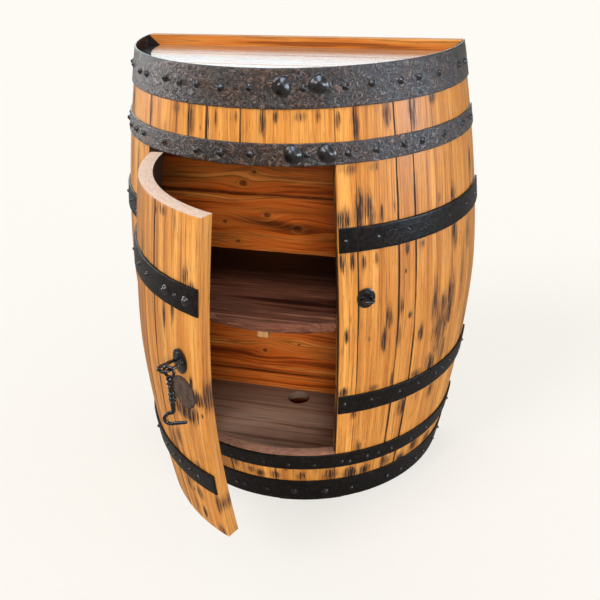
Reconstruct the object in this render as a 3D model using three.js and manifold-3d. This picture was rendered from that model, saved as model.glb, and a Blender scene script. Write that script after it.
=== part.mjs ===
// Half-barrel bar cabinet: a wine cask cut in half, closed at the back with boards,
// with a door cut from its own staves. Millimetres, +Z up, the door side faces -Y.
// The origin is on the floor, on the cask's axis, in the middle of the back boards' thickness.
import * as THREE from 'three';
import { mergeVertices } from 'three/addons/utils/BufferGeometryUtils.js';
import Module from 'manifold-3d';

const wasm = await Module();
wasm.setup();

// The cask
const caskHeight = 900;
const bilgeRadius = 371.2;
const headRadius = 316;
const sideCurvePower = 1.65;
const staveBilgeThickness = 21.5;
const staveEndThickness = 29;
const rimStandProud = 22;
const backPlane = 9;
const staveGap = 0.4;
const seatGap = 0.3;
const innerFit = 0.9;

// Hoops, from the floor up; the shares are heights as parts of the cask's height
const hoopThickness = 4;
const hoopFit = 0.3;
const hoopFootClearance = 2.5;
const hoop6Top = 62;
const hoop5BottomShare = 0.110556;
const hoop5Width = 38.3;
const hoop4BottomShare = 0.275556;
const hoop4Width = 43;
const hoop3BottomShare = 0.658222;
const hoop3Width = 44.6;
const hoop2BottomShare = 0.828222;
const hoop2Width = 37;
const hoop1Width = 63.5;
const hoopEndSetback = 1.5;

// The door, shown swung open about its left edge
const doorHingeAngle = -39.3;
const doorFreeAngle = 23.6;
const doorOpenAngle = 46.9;
const doorSideGap = 2.6;
const doorTopGap = 2.6;
const doorBottomGap = 2.8;

// Boards inside and on top
const boardThickness = 20;
const topBoardRecess = 18.5;
const boardGap = 0.5;
const backBoardSeamShares = [0.127778, 0.477778, 0.633333];
const railHeight = 38;
const railEndFit = 0.5;
const topBoardDepthShares = [0.311, 0.328];
const shelfTopShare = 0.486111;
const shelfThickness = 20.5;
const shelfSetback = 17.6;
const bottomBoardTop = 71;
const bottomBoardDepthShares = [0.23, 0.35];
const headHoleRadius = 26;
const headHoleX = -9;
const headHoleY = -41;
const cleatHeight = 24;
const cleatDepth = 36;
const bearerWidth = 20;
const bearerHeight = 14;
const bearerSetback = 6;

// Bung in the door
const bungRadius = 30;
const bungHeight = 444;
const bungAngle = 16;
const bungFit = 0.4;
const bungRecess = 1.2;

// Rivets of the two wide upper hoops and of the other hoops
const upperRivetRadius = 5.2;
const upperRivetHeight = 3.8;
const upperBigRivetRadius = 10.5;
const upperBigRivetHeight = 6;
const lowerRivetRadius = 3.3;
const lowerRivetHeight = 2.2;
const lowerBigRivetRadius = 6.5;
const lowerBigRivetHeight = 4;
const rivetSink = 1.2;

// Hinges
const hingePinClearance = 1.75;
const hingeKnuckleRadius = 6;
const hingePinRadius = 3;
const hingePinFit = 0.2;
const hingeHeight = 57;
const upperHingeAboveHoop3Bottom = 9;
const lowerHingeAboveHoop4Bottom = 37;
const hingeLeafThickness = 3;
const hingeLeafLength = 38;
const hingeLeafFit = 0.3;
const hingeKnuckleGap = 0.4;
const hingeWebThickness = 5;
const hingeFinialRadius = 4.6;
const hingeFinialHeight = 5;

// Latch: a staple on the door, a hook that hangs in it, and a staple as its catch
const latchHeightShare = 0.557778;
const stapleAngle = 15.9;
const catchAngle = 31.7;
const plateThickness = 3;
const doorPlateWidth = 34;
const doorPlateHeight = 44;
const catchPlateWidth = 35;
const catchPlateHeight = 39;
const stapleRodRadius = 3;
const stapleLegSpacing = 18;
const stapleReach = 42;
const catchLegSpacing = 17;
const catchReach = 24;
const stapleCornerRadius = 6;
const screwRadius = 3.2;
const screwHeight = 1.8;
const screwEdgeDistance = 8;
const eyeReach = 29;
const eyeCoreRadius = 9;
const eyeRodRadius = 2.5;
const eyeSeatGap = 0.7;
const collarRadius = 6;
const collarLength = 12;
const swivelRadius = 2.1;
const swivelFit = 0.3;
const swivelLength = 6;
const shankRadius = 5.8;
const hookRodRadius = 3;
const hookBendRadius = 10.5;
const hookBendStraight = 5;
const hookTipLength = 20;
const hookRestAngle = 34;

// How finely round things are divided
const staveStepAngle = 7;
const hoopStepAngle = 3.9;
const longSpan = 80;
const cutOverrun = 4;

const degrees = Math.PI / 180;
const up = new THREE.Vector3(0, 0, 1);

// Shape of the cask's side: fullest at mid-height, straighter towards its ends, where the staves are thicker.
const endDistanceShare = (z) => Math.abs(2 * z / caskHeight - 1) ** sideCurvePower;
const outerRadius = (z) => bilgeRadius - (bilgeRadius - headRadius) * endDistanceShare(z);
const staveThickness = (z) => staveBilgeThickness
  + (staveEndThickness - staveBilgeThickness) * endDistanceShare(z);
const innerRadius = (z) => outerRadius(z) - staveThickness(z);

// Levels that the pieces share
const staveTop = caskHeight - rimStandProud;
const hoop5Bottom = hoop5BottomShare * caskHeight;
const hoop4Bottom = hoop4BottomShare * caskHeight;
const hoop3Bottom = hoop3BottomShare * caskHeight;
const hoop2Bottom = hoop2BottomShare * caskHeight;
const hoop5Top = hoop5Bottom + hoop5Width;
const hoop4Top = hoop4Bottom + hoop4Width;
const hoop3Top = hoop3Bottom + hoop3Width;
const hoop2Top = hoop2Bottom + hoop2Width;
const hoop1Bottom = caskHeight - hoop1Width;
const lipTop = hoop5Top - seatGap;
const doorLow = lipTop + doorBottomGap;
const lintelLow = hoop2Bottom + seatGap;
const doorHigh = lintelLow - doorTopGap;
const topBoardTop = caskHeight - topBoardRecess;
const shelfTop = shelfTopShare * caskHeight;
const shelfBottom = shelfTop - shelfThickness;
const shelfRadius = innerRadius(shelfBottom) - shelfSetback;
const upperHingeCentre = hoop3Bottom + upperHingeAboveHoop3Bottom;
const lowerHingeCentre = hoop4Bottom + lowerHingeAboveHoop4Bottom;
const latchHeight = latchHeightShare * caskHeight;
const backDepth = 2 * backPlane;

const levels = [
  0, hoopFootClearance, hoop6Top, hoop5Bottom, lipTop, hoop5Top, doorLow, hoop4Bottom, hoop4Top,
  hoop3Bottom, hoop3Top, doorHigh, hoop2Bottom, lintelLow, hoop2Top, hoop1Bottom, staveTop, caskHeight,
];

// Levels between two heights: the shared ones, with long spans divided.
function levelsBetween(low, high) {
  const marks = [low, ...levels.filter((z) => z > low && z < high), high];
  const result = [low];
  for (let i = 1; i < marks.length; i += 1) {
    const count = Math.max(1, Math.round((marks[i] - marks[i - 1]) / longSpan));
    for (let k = 1; k <= count; k += 1) {
      result.push(marks[i - 1] + (marks[i] - marks[i - 1]) * k / count);
    }
  }
  return result;
}

// The staves are straight between their levels, so pieces inside are fitted to those lines.
const staveLevels = levelsBetween(0, staveTop);

function fittedInside(z) {
  const i = Math.max(1, staveLevels.findIndex((level) => level >= z));
  const [low, high] = [staveLevels[i - 1], staveLevels[i]];
  const share = (z - low) / (high - low);
  return innerRadius(low) * (1 - share) + innerRadius(high) * share - innerFit;
}

// Edges of a piece of the cask's wall. Each gives the angle at which the edge lies at a radius.
const edgeAt = (angle, inset) => (radius) => angle * degrees + inset / radius;
const backEdge = (side) => (radius) => side * (Math.PI / 2 + Math.asin(backPlane / radius));

function onCask(angle, radius, z) {
  return [radius * Math.sin(angle), -radius * Math.cos(angle), z];
}

// A closed block of the cask's wall between two edges, two heights and two radii.
function wallPiece({ from, to, low, high, outer, inner, step = staveStepAngle }) {
  const heights = levelsBetween(low, high);
  const middle = outer((low + high) / 2);
  const columns = Math.max(1, Math.ceil((to(middle) - from(middle)) / (step * degrees)));
  const rows = heights.length;
  const positions = [];
  const place = (column, row, side) => (side * (columns + 1) + column) * rows + row;
  for (const radiusAt of [outer, inner]) {
    for (let column = 0; column <= columns; column += 1) {
      for (const z of heights) {
        const radius = radiusAt(z);
        const angle = from(radius) + (to(radius) - from(radius)) * column / columns;
        positions.push(...onCask(angle, radius, z));
      }
    }
  }
  const index = [];
  const quad = (a, b, c, d) => index.push(a, b, c, a, c, d);
  for (let i = 0; i < columns; i += 1) {
    for (let j = 0; j < rows - 1; j += 1) {
      quad(place(i, j, 0), place(i + 1, j, 0), place(i + 1, j + 1, 0), place(i, j + 1, 0));
      quad(place(i + 1, j, 1), place(i, j, 1), place(i, j + 1, 1), place(i + 1, j + 1, 1));
    }
    quad(place(i, 0, 1), place(i + 1, 0, 1), place(i + 1, 0, 0), place(i, 0, 0));
    const top = rows - 1;
    quad(place(i, top, 0), place(i + 1, top, 0), place(i + 1, top, 1), place(i, top, 1));
  }
  for (let j = 0; j < rows - 1; j += 1) {
    quad(place(0, j, 1), place(0, j, 0), place(0, j + 1, 0), place(0, j + 1, 1));
    quad(place(columns, j, 0), place(columns, j, 1), place(columns, j + 1, 1), place(columns, j + 1, 0));
  }
  const geometry = new THREE.BufferGeometry();
  geometry.setAttribute('position', new THREE.Float32BufferAttribute(positions, 3));
  geometry.setIndex(index);
  return geometry;
}

// Boolean work: a closed geometry becomes a solid and comes back.
function toSolid(geometry) {
  const bare = geometry.clone();
  bare.deleteAttribute('normal');
  bare.deleteAttribute('uv');
  const merged = mergeVertices(bare);
  const source = merged.index.array;
  const points = merged.attributes.position;
  const triangles = [];
  let volume = 0;
  const corner = [new THREE.Vector3(), new THREE.Vector3(), new THREE.Vector3()];
  for (let i = 0; i < source.length; i += 3) {
    const [a, b, c] = [source[i], source[i + 1], source[i + 2]];
    if (a !== b && b !== c && c !== a) {
      triangles.push(a, b, c);
      [a, b, c].forEach((vertex, k) => corner[k].fromBufferAttribute(points, vertex));
      volume += corner[0].dot(corner[1].clone().cross(corner[2]));
    }
  }
  if (volume < 0) {
    for (let i = 0; i < triangles.length; i += 3) {
      [triangles[i + 1], triangles[i + 2]] = [triangles[i + 2], triangles[i + 1]];
    }
  }
  return new wasm.Manifold(new wasm.Mesh({
    numProp: 3,
    vertProperties: new Float32Array(points.array),
    triVerts: new Uint32Array(triangles),
  }));
}

function toGeometry(solid) {
  const mesh = solid.getMesh();
  const geometry = new THREE.BufferGeometry();
  geometry.setAttribute('position', new THREE.Float32BufferAttribute(mesh.vertProperties, 3));
  geometry.setIndex(Array.from(mesh.triVerts));
  return geometry;
}

function join(geometries) {
  return geometries.slice(1).reduce((sum, next) => sum.add(toSolid(next)), toSolid(geometries[0]));
}

// A turned shape about +Z. Points are [radius, height] and start and end on the axis.
function turned(points, sides) {
  const profile = points.map(([radius, height]) => new THREE.Vector2(radius, height));
  return new THREE.LatheGeometry(profile, sides).rotateX(Math.PI / 2);
}

function rod(radius, low, high, sides) {
  return turned([[0, low], [radius, low], [radius, high], [0, high]], sides);
}

// A round bar bent along a path.
function bentRod(radius, path, steps) {
  const section = new THREE.Shape().absarc(0, 0, radius, 0, 2 * Math.PI);
  return new THREE.ExtrudeGeometry(section, { extrudePath: path, steps, curveSegments: 4 });
}

// Materials
const finish = (color, roughness, metalness) => new THREE.MeshStandardMaterial({ color, roughness, metalness });
const staveOak = finish('#d98f45', 0.45, 0);
const topOak = finish('#b9713a', 0.2, 0);
const pine = finish('#a35a24', 0.5, 0);
const railPine = finish('#b5682a', 0.45, 0);
const charredOak = finish('#3b211a', 0.45, 0);
const greyedOak = finish('#5a4233', 0.6, 0);
const freshPine = finish('#c98a4e', 0.6, 0);
const bungOak = finish('#66503f', 0.7, 0);
const hammeredIron = finish('#3c3634', 0.4, 0.75);
const smoothIron = finish('#2e2e32', 0.45, 0.75);
const blackIron = finish('#1e2027', 0.35, 0.8);

const cabinet = new THREE.Group();

function addPiece(parent, name, geometry, material) {
  const mesh = new THREE.Mesh(geometry, material);
  mesh.name = name;
  parent.add(mesh);
  return mesh;
}

// Faces of the hoops and of the hinge leaves on them
const hoopInner = (z) => outerRadius(z) + hoopFit;
const hoopOuter = (z) => hoopInner(z) + hoopThickness;
const leafInner = (z) => hoopOuter(z) + hingeLeafFit;
const leafOuter = (z) => leafInner(z) + hingeLeafThickness;

// The hinge pins stand clear of the widest place of the leaves.
const hingeEnds = [upperHingeCentre, lowerHingeCentre].flatMap((z) => [z - hingeHeight / 2, z + hingeHeight / 2]);
const hingePinRadialPlace = Math.max(...hingeEnds.map(leafOuter)) + hingeKnuckleRadius + hingePinClearance;

// The door turns with this group, so its pieces are made where they are when it is shut.
const hingeX = hingePinRadialPlace * Math.sin(doorHingeAngle * degrees);
const hingeY = -hingePinRadialPlace * Math.cos(doorHingeAngle * degrees);
const doorSwing = new THREE.Group();
doorSwing.position.set(hingeX, hingeY, 0);
doorSwing.rotation.z = -doorOpenAngle * degrees;
const door = new THREE.Group();
door.position.set(-hingeX, -hingeY, 0);
doorSwing.add(door);
cabinet.add(doorSwing);

// Staves
const halfGap = staveGap / 2;
const halfDoorGap = doorSideGap / 2;
const leftSeamAngles = [-75, -57];
const doorSeamAngles = [-26, -14.2, -3.2, 4.2];
const sillSeamAngles = [-26, -14.4, 2.7];
const rightSeamAngles = [29.5, 42.3, 48.4, 65.2, 79];

// Staves side by side between two outer edges, with a seam at each angle.
function staveEdges(first, seamAngles, last) {
  const rights = seamAngles.map((angle) => edgeAt(angle, -halfGap));
  const lefts = seamAngles.map((angle) => edgeAt(angle, halfGap));
  return [first, ...lefts].map((from, i) => ({ from, to: [...rights, last][i] }));
}

function addStaves(parent, prefix, edges, low, high, cut = (solid) => solid) {
  edges.forEach(({ from, to }, i) => {
    const block = wallPiece({ from, to, low, high, outer: outerRadius, inner: innerRadius });
    addPiece(parent, `${prefix}_${i + 1}`, toGeometry(cut(toSolid(block))), staveOak);
  });
}

// A cylinder that points outwards from the cask's axis at an angle and height.
function radialRod(radius, angle, height, near, far, sides) {
  const geometry = rod(radius, near, far, sides).rotateX(Math.PI / 2);
  geometry.rotateZ(angle * degrees);
  return geometry.translate(0, 0, height);
}

const bungOuter = outerRadius(bungHeight);
const bungInner = innerRadius(bungHeight);
const bungSides = 20;
const bungHole = toSolid(radialRod(
  bungRadius + bungFit, bungAngle, bungHeight, bungInner - cutOverrun, bungOuter + cutOverrun, bungSides,
));

const leftEdge = edgeAt(doorHingeAngle, -halfDoorGap);
const rightEdge = edgeAt(doorFreeAngle, halfDoorGap);
addStaves(cabinet, 'stave_left', staveEdges(backEdge(-1), leftSeamAngles, leftEdge), 0, staveTop);
addStaves(cabinet, 'stave_right', staveEdges(rightEdge, rightSeamAngles, backEdge(1)), 0, staveTop);
const overDoorLeft = edgeAt(doorHingeAngle, halfGap - halfDoorGap);
const overDoorRight = edgeAt(doorFreeAngle, halfDoorGap - halfGap);
addStaves(cabinet, 'stave_above_door', staveEdges(overDoorLeft, doorSeamAngles, overDoorRight), lintelLow, staveTop);
addStaves(cabinet, 'stave_below_door', staveEdges(overDoorLeft, sillSeamAngles, overDoorRight), 0, lipTop);
const doorLeft = edgeAt(doorHingeAngle, halfDoorGap);
const doorRight = edgeAt(doorFreeAngle, -halfDoorGap);
addStaves(door, 'door_stave', staveEdges(doorLeft, doorSeamAngles, doorRight), doorLow, doorHigh,
  (solid) => solid.subtract(bungHole));

const bungPlug = radialRod(
  bungRadius, bungAngle, bungHeight, bungInner + bungRecess, bungOuter - bungRecess, bungSides,
);
addPiece(door, 'bung_plug', toGeometry(toSolid(bungPlug)), bungOak);

// Hoops: bands round the staves with domed rivets
const domeShares = [[1, 0], [0.72, 0.68]];
const upperRivets = {
  small: [upperRivetRadius, upperRivetHeight, 6],
  big: [upperBigRivetRadius, upperBigRivetHeight, 10],
};
const lowerRivets = {
  small: [lowerRivetRadius, lowerRivetHeight, 6],
  big: [lowerBigRivetRadius, lowerBigRivetHeight, 8],
};

function rivet([radius, height, sides], angle, z) {
  const dome = domeShares.map(([radiusShare, heightShare]) => [radius * radiusShare, height * heightShare]);
  const geometry = turned([[0, -rivetSink], [radius, -rivetSink], ...dome, [0, height]], sides);
  geometry.rotateX(Math.PI / 2);
  geometry.translate(0, -hoopOuter(z), 0);
  geometry.rotateZ(angle * degrees);
  return geometry.translate(0, 0, z);
}

function addHoop(parent, name, material, sizes, { from, to, low, high, small, big = [] }) {
  const band = wallPiece({ from, to, low, high, outer: hoopOuter, inner: hoopInner, step: hoopStepAngle });
  const middle = (low + high) / 2;
  const rivets = [
    ...small.map((angle) => rivet(sizes.small, angle, middle)),
    ...big.map((angle) => rivet(sizes.big, angle, middle)),
  ];
  addPiece(parent, name, toGeometry(join([band, ...rivets])), material);
}

const wholeBand = { from: backEdge(-1), to: backEdge(1) };
addHoop(cabinet, 'hoop_1_top', hammeredIron, upperRivets, {
  ...wholeBand,
  low: hoop1Bottom,
  high: caskHeight,
  small: [-86, -77, -68, -59, -48.8, -43.1, -31.7, -24.7, -17.9, -9.6, -0.5, 15.2, 27.4, 35.5, 45.4,
    52.5, 61.9, 76.1, 83.3],
  big: [9, 19.7],
});
addHoop(cabinet, 'hoop_2_upper', hammeredIron, upperRivets, {
  ...wholeBand,
  low: hoop2Bottom,
  high: hoop2Top,
  small: [-82, -73, -64, -56, -49, -42.7, -30.7, -17.2, -9, -0.2, 15.9, 27.5, 35.9, 45.1, 51.9,
    62.1, 74.7, 84],
  big: [12, 21.4],
});
addHoop(cabinet, 'hoop_5_lower', smoothIron, lowerRivets, {
  ...wholeBand,
  low: hoop5Bottom,
  high: hoop5Top,
  small: [-80, -69, -57, -45, -33, -22, -13.1, -8.9, -1.2, 7.6, 16.5, 26.1, 28.8, 35.4, 39.7, 45.2,
    54.5, 63.6, 76, 85],
});
addHoop(cabinet, 'hoop_6_bottom', smoothIron, lowerRivets, {
  ...wholeBand,
  low: hoopFootClearance,
  high: hoop6Top,
  small: [-83, -72, -60, -48, -36, -24, -14, -10.4, -1.1, 30.6, 46, 52.7, 61.8, 67.4, 77, 85],
  big: [9.1, 20.6],
});

// Hoops 3 and 4 are cut where the door opens, so each is three straps.
const strapLeft = { from: backEdge(-1), to: edgeAt(doorHingeAngle, -halfDoorGap - hoopEndSetback) };
const strapDoor = {
  from: edgeAt(doorHingeAngle, halfDoorGap + hoopEndSetback),
  to: edgeAt(doorFreeAngle, -halfDoorGap - hoopEndSetback),
};
const strapRight = { from: edgeAt(doorFreeAngle, halfDoorGap + hoopEndSetback), to: backEdge(1) };
const hoop3Span = { low: hoop3Bottom, high: hoop3Top };
const hoop4Span = { low: hoop4Bottom, high: hoop4Top };
const leftRivetAngles = [-84, -74, -64, -55, -48];
addHoop(cabinet, 'hoop_3_left', smoothIron, lowerRivets, { ...strapLeft, ...hoop3Span, small: leftRivetAngles });
addHoop(cabinet, 'hoop_4_left', smoothIron, lowerRivets, { ...strapLeft, ...hoop4Span, small: leftRivetAngles });
addHoop(cabinet, 'hoop_3_right', smoothIron, lowerRivets, {
  ...strapRight,
  ...hoop3Span,
  small: [26, 35.6, 45.3, 52, 62.7, 74.2, 84.4],
});
addHoop(cabinet, 'hoop_4_right', smoothIron, lowerRivets, {
  ...strapRight,
  ...hoop4Span,
  small: [25.8, 34.6, 44.7, 52.6, 61.3, 65.1, 70.6, 79, 86],
});
addHoop(door, 'hoop_3_door', smoothIron, lowerRivets, {
  ...strapDoor,
  ...hoop3Span,
  small: [-28, -17, -6, 0.8, 15.3],
  big: [11, 19.2],
});
addHoop(door, 'hoop_4_door', smoothIron, lowerRivets, {
  ...strapDoor,
  ...hoop4Span,
  small: [-28, -19, -10, -0.5, 4.7, 8.6, 13.3, 17.1],
});

// Boards with round ends that lie flat inside the cask
const arcSteps = 8;

// Part of a half disc between two distances in front of the back boards.
function discStrip(radius, near, far) {
  const first = Math.asin(near / radius);
  const last = Math.asin(Math.min(1, far / radius));
  const rightSide = [];
  const leftSide = [];
  for (let i = 0; i <= arcSteps; i += 1) {
    const angle = first + (last - first) * i / arcSteps;
    rightSide.push(new THREE.Vector2(radius * Math.cos(angle), -radius * Math.sin(angle)));
    leftSide.unshift(new THREE.Vector2(-radius * Math.cos(angle), -radius * Math.sin(angle)));
  }
  if (far >= radius) {
    leftSide.shift();
  }
  return new THREE.Shape([...rightSide, ...leftSide]);
}

function flatBoard(shape, low, thickness) {
  const geometry = new THREE.ExtrudeGeometry(shape, { depth: thickness, bevelEnabled: false });
  return toSolid(geometry.translate(0, 0, low));
}

const boardsNear = backPlane + seatGap;

// Boards side by side that make a half disc, counted from the back.
function addHalfDiscBoards(prefix, radius, low, depthShares, material, cut = (solid) => solid) {
  const seams = [boardsNear];
  depthShares.forEach((share) => seams.push(seams[seams.length - 1] + share * radius));
  seams.forEach((near, i) => {
    const far = i + 1 < seams.length ? seams[i + 1] - boardGap : radius;
    const board = flatBoard(discStrip(radius, near, far), low, boardThickness);
    addPiece(cabinet, `${prefix}_${i + 1}`, toGeometry(cut(board)), material);
  });
}

const topBoardLow = topBoardTop - boardThickness;
addHalfDiscBoards('top_board', fittedInside(staveTop), topBoardLow, topBoardDepthShares, topOak);

const shelf = flatBoard(discStrip(shelfRadius, boardsNear, shelfRadius), shelfBottom, shelfThickness);
addPiece(cabinet, 'shelf', toGeometry(shelf), charredOak);

const bottomBoardLow = bottomBoardTop - boardThickness;
const headHole = rod(headHoleRadius, bottomBoardLow - cutOverrun, bottomBoardTop + cutOverrun, 20);
headHole.translate(headHoleX, headHoleY, 0);
addHalfDiscBoards('bottom_board', fittedInside(bottomBoardLow), bottomBoardLow, bottomBoardDepthShares, greyedOak,
  (solid) => solid.subtract(toSolid(headHole)));

// Back boards stand on edge between the staves; the rail above them is a little wider.
const halfWidthAt = (z) => Math.sqrt(fittedInside(z) ** 2 - backPlane ** 2);

function uprightBoard(name, outline, material) {
  const shape = new THREE.Shape([
    ...outline.map(([x, z]) => new THREE.Vector2(x, z)),
    ...outline.map(([x, z]) => new THREE.Vector2(-x, z)).reverse(),
  ]);
  const geometry = new THREE.ExtrudeGeometry(shape, { depth: backDepth, bevelEnabled: false });
  geometry.rotateX(Math.PI / 2);
  geometry.translate(0, backPlane, 0);
  addPiece(cabinet, name, toGeometry(toSolid(geometry)), material);
}

const railBottom = caskHeight - railHeight;
const backEdges = [0, ...backBoardSeamShares.map((share) => share * caskHeight), railBottom];
for (let i = 0; i + 1 < backEdges.length; i += 1) {
  const low = backEdges[i];
  const high = backEdges[i + 1] - boardGap;
  uprightBoard(`back_board_${i + 1}`, levelsBetween(low, high).map((z) => [halfWidthAt(z), z]), pine);
}
uprightBoard('back_rail', [
  [halfWidthAt(staveTop), railBottom],
  [halfWidthAt(staveTop), staveTop + seatGap],
  [headRadius - railEndFit, caskHeight],
], railPine);

// Curved cleats carry the shelf on the fixed staves.
const cleatBackAngle = 87;
const cleatFrontInset = 18;
const cleatTop = shelfBottom - seatGap;

function addCleat(name, from, to) {
  const cleat = wallPiece({
    from, to, low: cleatTop - cleatHeight, high: cleatTop, outer: fittedInside,
    inner: (z) => fittedInside(z) - cleatDepth,
  });
  addPiece(cabinet, name, toGeometry(toSolid(cleat)), pine);
}

addCleat('shelf_cleat_left', edgeAt(-cleatBackAngle, 0), edgeAt(doorHingeAngle, -cleatFrontInset));
addCleat('shelf_cleat_right', edgeAt(doorFreeAngle, cleatFrontInset), edgeAt(cleatBackAngle, 0));

// A bearer under the middle of the shelf runs from its front edge to the back boards.
const bearerLength = shelfRadius - bearerSetback - boardsNear;
const bearer = new THREE.BoxGeometry(bearerWidth, bearerLength, bearerHeight);
bearer.translate(0, -boardsNear - bearerLength / 2, cleatTop - bearerHeight / 2);
addPiece(cabinet, 'shelf_bearer', toGeometry(toSolid(bearer)), freshPine);

// Hinges: leaves bent up from the straps to knuckles that stand clear of the bulge
const knuckleSides = 12;
const knuckleHeight = hingeHeight / 3;

function atHinge(geometry) {
  return geometry.translate(0, -hingePinRadialPlace, 0).rotateZ(doorHingeAngle * degrees);
}

function hingeLeaf(centre, side, knuckles) {
  const low = centre - hingeHeight / 2;
  const rootInset = hingeKnuckleGap + halfDoorGap;
  const near = edgeAt(doorHingeAngle, side * rootInset);
  const far = edgeAt(doorHingeAngle, side * hingeLeafLength);
  const plate = wallPiece({
    from: side < 0 ? far : near,
    to: side < 0 ? near : far,
    low,
    high: low + hingeHeight,
    outer: leafOuter,
    inner: leafInner,
    step: hoopStepAngle,
  });
  const pieces = [plate];
  for (const place of knuckles) {
    const bottom = low + place * knuckleHeight + hingeKnuckleGap / 2;
    const top = low + (place + 1) * knuckleHeight - hingeKnuckleGap / 2;
    const plateDepth = hingePinRadialPlace - leafInner((bottom + top) / 2);
    const webDepth = plateDepth - hingeLeafThickness / 2;
    const web = new THREE.BoxGeometry(hingeWebThickness, webDepth, top - bottom);
    web.translate(side * (rootInset + hingeWebThickness / 2), webDepth / 2, (bottom + top) / 2);
    pieces.push(atHinge(rod(hingeKnuckleRadius, bottom, top, knuckleSides)));
    pieces.push(atHinge(web));
  }
  const bore = atHinge(rod(
    hingePinRadius + hingePinFit, low - cutOverrun, low + hingeHeight + cutOverrun, knuckleSides,
  ));
  return toGeometry(join(pieces).subtract(toSolid(bore)));
}

for (const [name, centre] of [['upper', upperHingeCentre], ['lower', lowerHingeCentre]]) {
  const low = centre - hingeHeight / 2;
  const high = centre + hingeHeight / 2;
  addPiece(cabinet, `${name}_hinge_fixed_leaf`, hingeLeaf(centre, -1, [0, 2]), smoothIron);
  addPiece(door, `${name}_hinge_door_leaf`, hingeLeaf(centre, 1, [1]), smoothIron);
  const pin = turned([
    [0, low - hingeFinialHeight], [hingeFinialRadius, low - seatGap], [hingePinRadius, low - seatGap],
    [hingePinRadius, high + seatGap], [hingeFinialRadius, high + seatGap], [0, high + hingeFinialHeight],
  ], knuckleSides);
  addPiece(cabinet, `${name}_hinge_pin`, toGeometry(toSolid(atHinge(pin))), blackIron);
}

// Latch plates and staples are modelled facing -Y, then turned to their angle on the cask.
const latchOuter = outerRadius(latchHeight);
const plateBack = latchOuter + seatGap;
const plateFront = plateBack + plateThickness;

function staplePlate(width, height) {
  const plate = rod(1, 0, plateThickness, 20);
  plate.scale(width / 2, height / 2, 1);
  plate.rotateX(Math.PI / 2);
  return plate.translate(0, -plateBack, 0);
}

function stapleRod(spacing, reach) {
  const half = spacing / 2;
  const root = -(plateBack + plateThickness / 2);
  const bow = -(latchOuter + reach - stapleRodRadius);
  const corner = stapleCornerRadius;
  const point = (x, y) => new THREE.Vector3(x, y, 0);
  const path = new THREE.CurvePath();
  path.add(new THREE.LineCurve3(point(-half, root), point(-half, bow + corner)));
  path.add(new THREE.QuadraticBezierCurve3(point(-half, bow + corner), point(-half, bow), point(corner - half, bow)));
  path.add(new THREE.LineCurve3(point(corner - half, bow), point(half - corner, bow)));
  path.add(new THREE.QuadraticBezierCurve3(point(half - corner, bow), point(half, bow), point(half, bow + corner)));
  path.add(new THREE.LineCurve3(point(half, bow + corner), point(half, root)));
  return bentRod(stapleRodRadius, path, 26);
}

function staple(angle, width, height, spacing, reach) {
  const screw = turned([
    [0, -plateThickness / 2], [screwRadius, -plateThickness / 2], [screwRadius, 0], [0, screwHeight],
  ], 8);
  screw.rotateX(Math.PI / 2);
  screw.translate(0, -plateFront, height / 2 - screwEdgeDistance);
  const solid = join([staplePlate(width, height), stapleRod(spacing, reach), screw]);
  return toGeometry(solid).rotateZ(angle * degrees).translate(0, 0, latchHeight);
}

addPiece(door, 'door_staple',
  staple(stapleAngle, doorPlateWidth, doorPlateHeight, stapleLegSpacing, stapleReach), blackIron);
addPiece(cabinet, 'catch_staple',
  staple(catchAngle, catchPlateWidth, catchPlateHeight, catchLegSpacing, catchReach), blackIron);

// The hook hangs from the staple's right leg, and swings level to drop its tip into the catch.
const pivot = new THREE.Vector3(stapleLegSpacing / 2, -(latchOuter + eyeReach), latchHeight);
pivot.applyAxisAngle(up, stapleAngle * degrees);
const catchHoleReach = (plateFront + latchOuter + catchReach - 2 * stapleRodRadius) / 2;
const catchHole = new THREE.Vector3(0, -catchHoleReach, latchHeight).applyAxisAngle(up, catchAngle * degrees);
const toCatch = catchHole.clone().sub(pivot);
const hookLength = toCatch.length();
const latch = new THREE.Group();
latch.position.copy(pivot);
latch.rotation.z = Math.atan2(toCatch.y, toCatch.x);
door.add(latch);

const eyeDrop = eyeCoreRadius - stapleRodRadius - eyeRodRadius - eyeSeatGap;
const collarTop = -(eyeDrop + eyeCoreRadius);
const collarBottom = collarTop - eyeRodRadius / 2 - collarLength;
const ring = new THREE.TorusGeometry(eyeCoreRadius, eyeRodRadius, 6, 16);
ring.rotateX(Math.PI / 2);
ring.translate(0, 0, -eyeDrop);
const collarShares = [[0.8, 0], [1, 0.12], [1, 0.3], [0.75, 0.42], [0.75, 0.62], [1, 0.74], [1, 1]];
const collar = turned([
  [0, collarTop],
  ...collarShares.map(([radiusShare, heightShare]) => [
    collarRadius * radiusShare, collarTop + (collarBottom - collarTop) * heightShare]),
  [swivelRadius + swivelFit, collarBottom],
  [swivelRadius + swivelFit, collarBottom + swivelLength + swivelFit],
  [0, collarBottom + swivelLength + swivelFit],
], 12);
addPiece(latch, 'hook_eye', toGeometry(join([ring, collar])), blackIron);

const bendTop = -(hookLength - 2 * hookBendRadius);
const shankTop = collarBottom - seatGap;
const shankBottom = bendTop - hookRodRadius;
const shankShares = [[1, 0], [1, 0.05], [0.76, 0.08], [0.76, 0.28], [1, 0.31], [1, 0.35], [0.78, 0.38],
  [0.78, 0.43], [1, 0.46], [1, 0.5], [0.78, 0.53], [0.78, 0.56], [1, 0.59], [0.76, 0.64], [0.76, 0.96]];
const shank = turned([
  [0, shankTop + swivelLength],
  [swivelRadius, shankTop + swivelLength],
  [swivelRadius, shankTop],
  ...shankShares.map(([radiusShare, heightShare]) => [
    shankRadius * radiusShare, shankTop + (shankBottom - shankTop) * heightShare]),
  [0, shankBottom],
], 10);

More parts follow.
